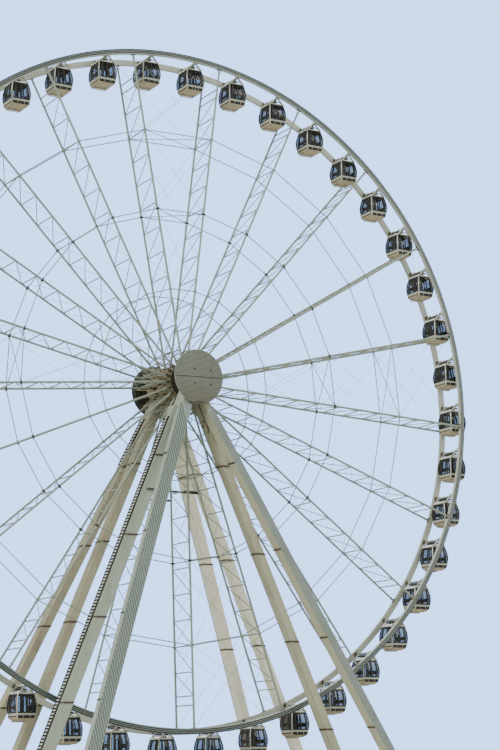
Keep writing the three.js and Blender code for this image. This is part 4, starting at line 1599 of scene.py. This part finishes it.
class WHEEL_OT_platform(bpy.types.Operator):
    """Makes the boarding deck with its posts, steps and rails"""
    bl_idname = "wheel.platform"
    bl_label = "Make the boarding deck"

    def execute(self, context):
        bm = bmesh.new()
        wide, deep = 2 * DECK_X / DECK_PLATES, 2 * DECK_Y / DECK_PLATES
        for column, row in product(range(DECK_PLATES), repeat=2):
            x, y = column * wide - DECK_X, row * deep - DECK_Y
            add_block(bm, (x + PLATE_GAP, y + PLATE_GAP, DECK_TOP - PLATE_THICKNESS),
                      (x + wide - PLATE_GAP, y + deep - PLATE_GAP, DECK_TOP), 0.004)
        for step in range(1, STAIR_RISERS):
            height = DECK_TOP - step * DECK_TOP / STAIR_RISERS
            back = -DECK_Y - (step - 1) * STAIR_GOING
            add_block(bm, (-STAIR_HALF_WIDTH, back - STAIR_GOING, height - TREAD_THICKNESS),
                      (STAIR_HALF_WIDTH, back + 0.02, height), 0.005)
        finish_piece(bm, "deck_plates", "deck_metal", ["boarding_platform"])
        self.structure()
        self.rails(context.scene.ground_sizes)
        return {"FINISHED"}

    def structure(self):
        """Beams under the deck, posts on their foot plates, braces between them, and stringers."""
        bm = bmesh.new()
        under = DECK_TOP - PLATE_THICKNESS
        reach = DECK_Y - 0.1
        for side in (-1, 1):
            add_post(bm, 0, side * (DECK_Y - 0.05), DECK_X, 0.05, DECK_TOP - 0.25, under, 0.01)
            add_post(bm, side * (DECK_X - 0.05), 0, 0.05, reach, DECK_TOP - 0.25, under, 0.01)
        for index in range(1, DECK_PLATES):
            add_post(bm, 2 * DECK_X * index / DECK_PLATES - DECK_X, 0, 0.04, reach, DECK_TOP - 0.2, under)
        edge = DECK_Y - 0.25
        rows = ((-edge, 0.0), (-SILL_TIE_Y, SILL_TIE_TOP), (SILL_TIE_Y, SILL_TIE_TOP), (edge, 0.0))
        for column, (y, foot) in product(range(POST_BAYS + 1), rows):
            x = post_x(column)
            add_post(bm, x, y, 0.09, 0.09, foot + 0.02, DECK_TOP - 0.2, 0.012)
            add_post(bm, x, y, 0.17, 0.17, foot, foot + 0.03, 0.005)
            for across, along in product((-0.12, 0.12), repeat=2):
                add_bolt(bm, x + across, y + along, foot + 0.02, foot + 0.06, 0.02)
        for column, y in product(range(POST_BAYS), (-edge, edge)):
            behind_stairs = y < 0 and column in (1, 2)
            if not behind_stairs:
                left, right = post_x(column), post_x(column + 1)
                add_rod(bm, (left, y, 0.25), (right, y, DECK_TOP - 0.35), 0.03, 8)
                add_rod(bm, (right, y, 0.25), (left, y, DECK_TOP - 0.35), 0.03, 8)
        for x in (-STRINGER_X, STRINGER_X):
            add_bar(bm, (x, STAIR_FOOT_Y + 0.12, 0.2), (x, -DECK_Y, under), 0.05, 0.3, 0.008)
        finish_piece(bm, "deck_structure", "base_steel")

    def rail_line(self, bm, now, start, end):
        """A stretch of rail: posts, top rail, middle rails and thin balusters."""
        start, end = Vector(start), Vector(end)
        up = Vector((0, 0, now.rail_height))
        spans = max(1, round((end - start).length / now.rail_spacing))
        for index in range(spans + 1):
            foot = start.lerp(end, index / spans)
            add_rod(bm, foot, foot + up, now.rail_radius, 8)
            add_box(bm, (0.14, 0.14, 0.02), Matrix.Translation(foot), 0.0, (0, 0, 0.01))
        add_rod(bm, start + up, end + up, now.rail_radius, 10)
        for share in RAIL_SHARES:
            add_rod(bm, start + up * share, end + up * share, now.rail_radius * 0.7, 8)
        balusters = int((end - start).length / BALUSTER_PITCH)
        for index in range(1, balusters):
            foot = start.lerp(end, index / balusters)
            add_rod(bm, foot + up * RAIL_SHARES[0], foot + up * 0.98, BALUSTER_RADIUS, 5)

    def rails(self, now):
        """Rails round the deck, beside the stairs, and on both sides of the boarding gaps."""
        bm = bmesh.new()
        self.rail_line(bm, now, (-RAIL_X, RAIL_Y, DECK_TOP), (RAIL_X, RAIL_Y, DECK_TOP))
        for side in (-1, 1):
            x = side * RAIL_X
            for start, end in (((side * STAIR_GAP, -RAIL_Y), (x, -RAIL_Y)),
                               ((x, -RAIL_Y), (x, -BOARDING_GAP)), ((x, BOARDING_GAP), (x, RAIL_Y)),
                               ((side * BOARDING_X, -BOARDING_GAP), (x, -BOARDING_GAP)),
                               ((side * BOARDING_X, BOARDING_GAP), (x, BOARDING_GAP))):
                self.rail_line(bm, now, (*start, DECK_TOP), (*end, DECK_TOP))
            self.rail_line(bm, now, (side * STRINGER_X, STAIR_FOOT_Y + 0.1, 0.2),
                           (side * STRINGER_X, -RAIL_Y, DECK_TOP))
        finish_piece(bm, "deck_rails", "rail_metal")


# Stage

# The lamps: name, place that each shines from, and width in degrees
LAMPS = (("key", (-75, -28, 55), 24), ("fill", (60, -60, 40), 30), ("back", (30, 80, 40), 30))
LAMP_TONE = (1.0, 0.98, 0.93)
FLOOR_TONES = ((0.66, 0.65, 0.61), (0.70, 0.69, 0.65))
FLOOR_HALF = 400


class WHEEL_OT_stage(bpy.types.Operator):
    """Makes the floor, the soft light and the camera at the photograph's angle"""
    bl_idname = "wheel.stage"
    bl_label = "Make the stage"

    def execute(self, context):
        now = context.scene.stage_sizes
        self.camera(context, now)
        self.floor(context)
        self.backdrop(context, now)
        for name, place, degrees in LAMPS:
            self.lamp(context, name, place, getattr(now, name + "_power"), degrees)
        return {"FINISHED"}

    def camera(self, context, now):
        forward = Vector((math.sin(now.heading) * math.cos(now.pitch),
                          math.cos(now.heading) * math.cos(now.pitch), math.sin(now.pitch)))
        right = Vector((math.cos(now.heading), -math.sin(now.heading), 0))
        up = right.cross(forward)
        rolled_right = right * math.cos(now.roll) + up * math.sin(now.roll)
        rolled_up = up * math.cos(now.roll) - right * math.sin(now.roll)
        turn = Matrix((rolled_right, rolled_up, -forward)).transposed().to_4x4()
        data = bpy.data.cameras.new("camera")
        data.lens = now.lens
        data.sensor_width = 36
        data.sensor_fit = "AUTO"
        data.clip_end = 600
        camera = bpy.data.objects.new("camera", data)
        context.scene.collection.objects.link(camera)
        place = Vector((now.camera_x, now.camera_y, HUB.z * SCALE - now.camera_drop))
        camera.matrix_world = Matrix.Translation(place) @ turn
        context.scene.camera = camera

    def floor(self, context):
        """A plain pale floor."""
        bm = bmesh.new()
        bmesh.ops.create_grid(bm, x_segments=1, y_segments=1, size=FLOOR_HALF)
        mesh = as_mesh(bm, "floor")
        tree, shader, vector = new_material("floor")
        tone = remap(tree, noise(tree, vector, 0.4, 3.0), 0.3, 0.7)
        fill(tree, shader["Base Color"], mixed_colour(tree, tone, *FLOOR_TONES))
        fill(tree, shader["Roughness"], 0.9)
        mesh.materials.append(bpy.data.materials[finish_name("floor")])
        floor = bpy.data.objects.new("floor", mesh)
        context.scene.collection.objects.link(floor)

    def backdrop(self, context, now):
        """A pale backdrop that only the camera sees, and even light from all round."""
        world = bpy.data.worlds.new("soft_sky")
        context.scene.world = world
        world.use_nodes = True
        tree = world.node_tree
        even = tree.nodes["Background"]
        fill(tree, even.inputs["Color"], now.soft_light)
        seen = add_node(tree, "Background", Color=now.backdrop)
        mix = add_node(tree, "MixShader")
        shares = (add_node(tree, "LightPath").outputs["Is Camera Ray"], even.outputs[0], seen.outputs[0])
        for socket, value in zip(mix.inputs, shares):
            fill(tree, socket, value)
        fill(tree, tree.nodes["World Output"].inputs["Surface"], mix.outputs[0])

    def lamp(self, context, name, place, strength, degrees):
        """A wide soft lamp that shines from a place towards the origin."""
        data = bpy.data.lights.new(name, "SUN")
        data.energy = strength
        data.angle = math.radians(degrees)
        data.color = LAMP_TONE
        lamp = bpy.data.objects.new(name, data)
        context.scene.collection.objects.link(lamp)
        lamp.matrix_world = (-Vector(place)).to_track_quat("-Z", "Y").to_matrix().to_4x4()


class WHEEL_PT_panel(bpy.types.Panel):
    """Lists the steps that build the wheel"""
    bl_idname = "WHEEL_PT_panel"
    bl_label = "Observation wheel"
    bl_space_type = "VIEW_3D"
    bl_region_type = "UI"
    bl_category = "Wheel"

    def draw(self, context):
        for step in STEPS:
            self.layout.operator(step.bl_idname)
        for group in SETTINGS:
            settings = getattr(context.scene, group)
            for name in settings.bl_rna.properties.keys():
                if name not in ("rna_type", "name"):
                    self.layout.prop(settings, name)


STEPS = (WHEEL_OT_materials, WHEEL_OT_stage, WHEEL_OT_rims, WHEEL_OT_spokes, WHEEL_OT_ties, WHEEL_OT_hub,
         WHEEL_OT_cabins, WHEEL_OT_legs, WHEEL_OT_base, WHEEL_OT_platform)
SETTINGS = {
    "wheel_sizes": WheelSizes,
    "cabin_sizes": CabinSizes,
    "ground_sizes": GroundSizes,
    "wheel_colours": WheelColours,
    "stage_sizes": StageSizes,
}


def register():
    for cls in (*SETTINGS.values(), *STEPS, WHEEL_PT_panel):
        bpy.utils.register_class(cls)
    for name, cls in SETTINGS.items():
        setattr(bpy.types.Scene, name, bpy.props.PointerProperty(type=cls))


def unregister():
    for name in SETTINGS:
        delattr(bpy.types.Scene, name)
    for cls in reversed((*SETTINGS.values(), *STEPS, WHEEL_PT_panel)):
        bpy.utils.unregister_class(cls)


def main():
    register()
    for step in STEPS:
        family, name = step.bl_idname.split(".")
        getattr(getattr(bpy.ops, family), name)()


if __name__ == "__main__":
    main()
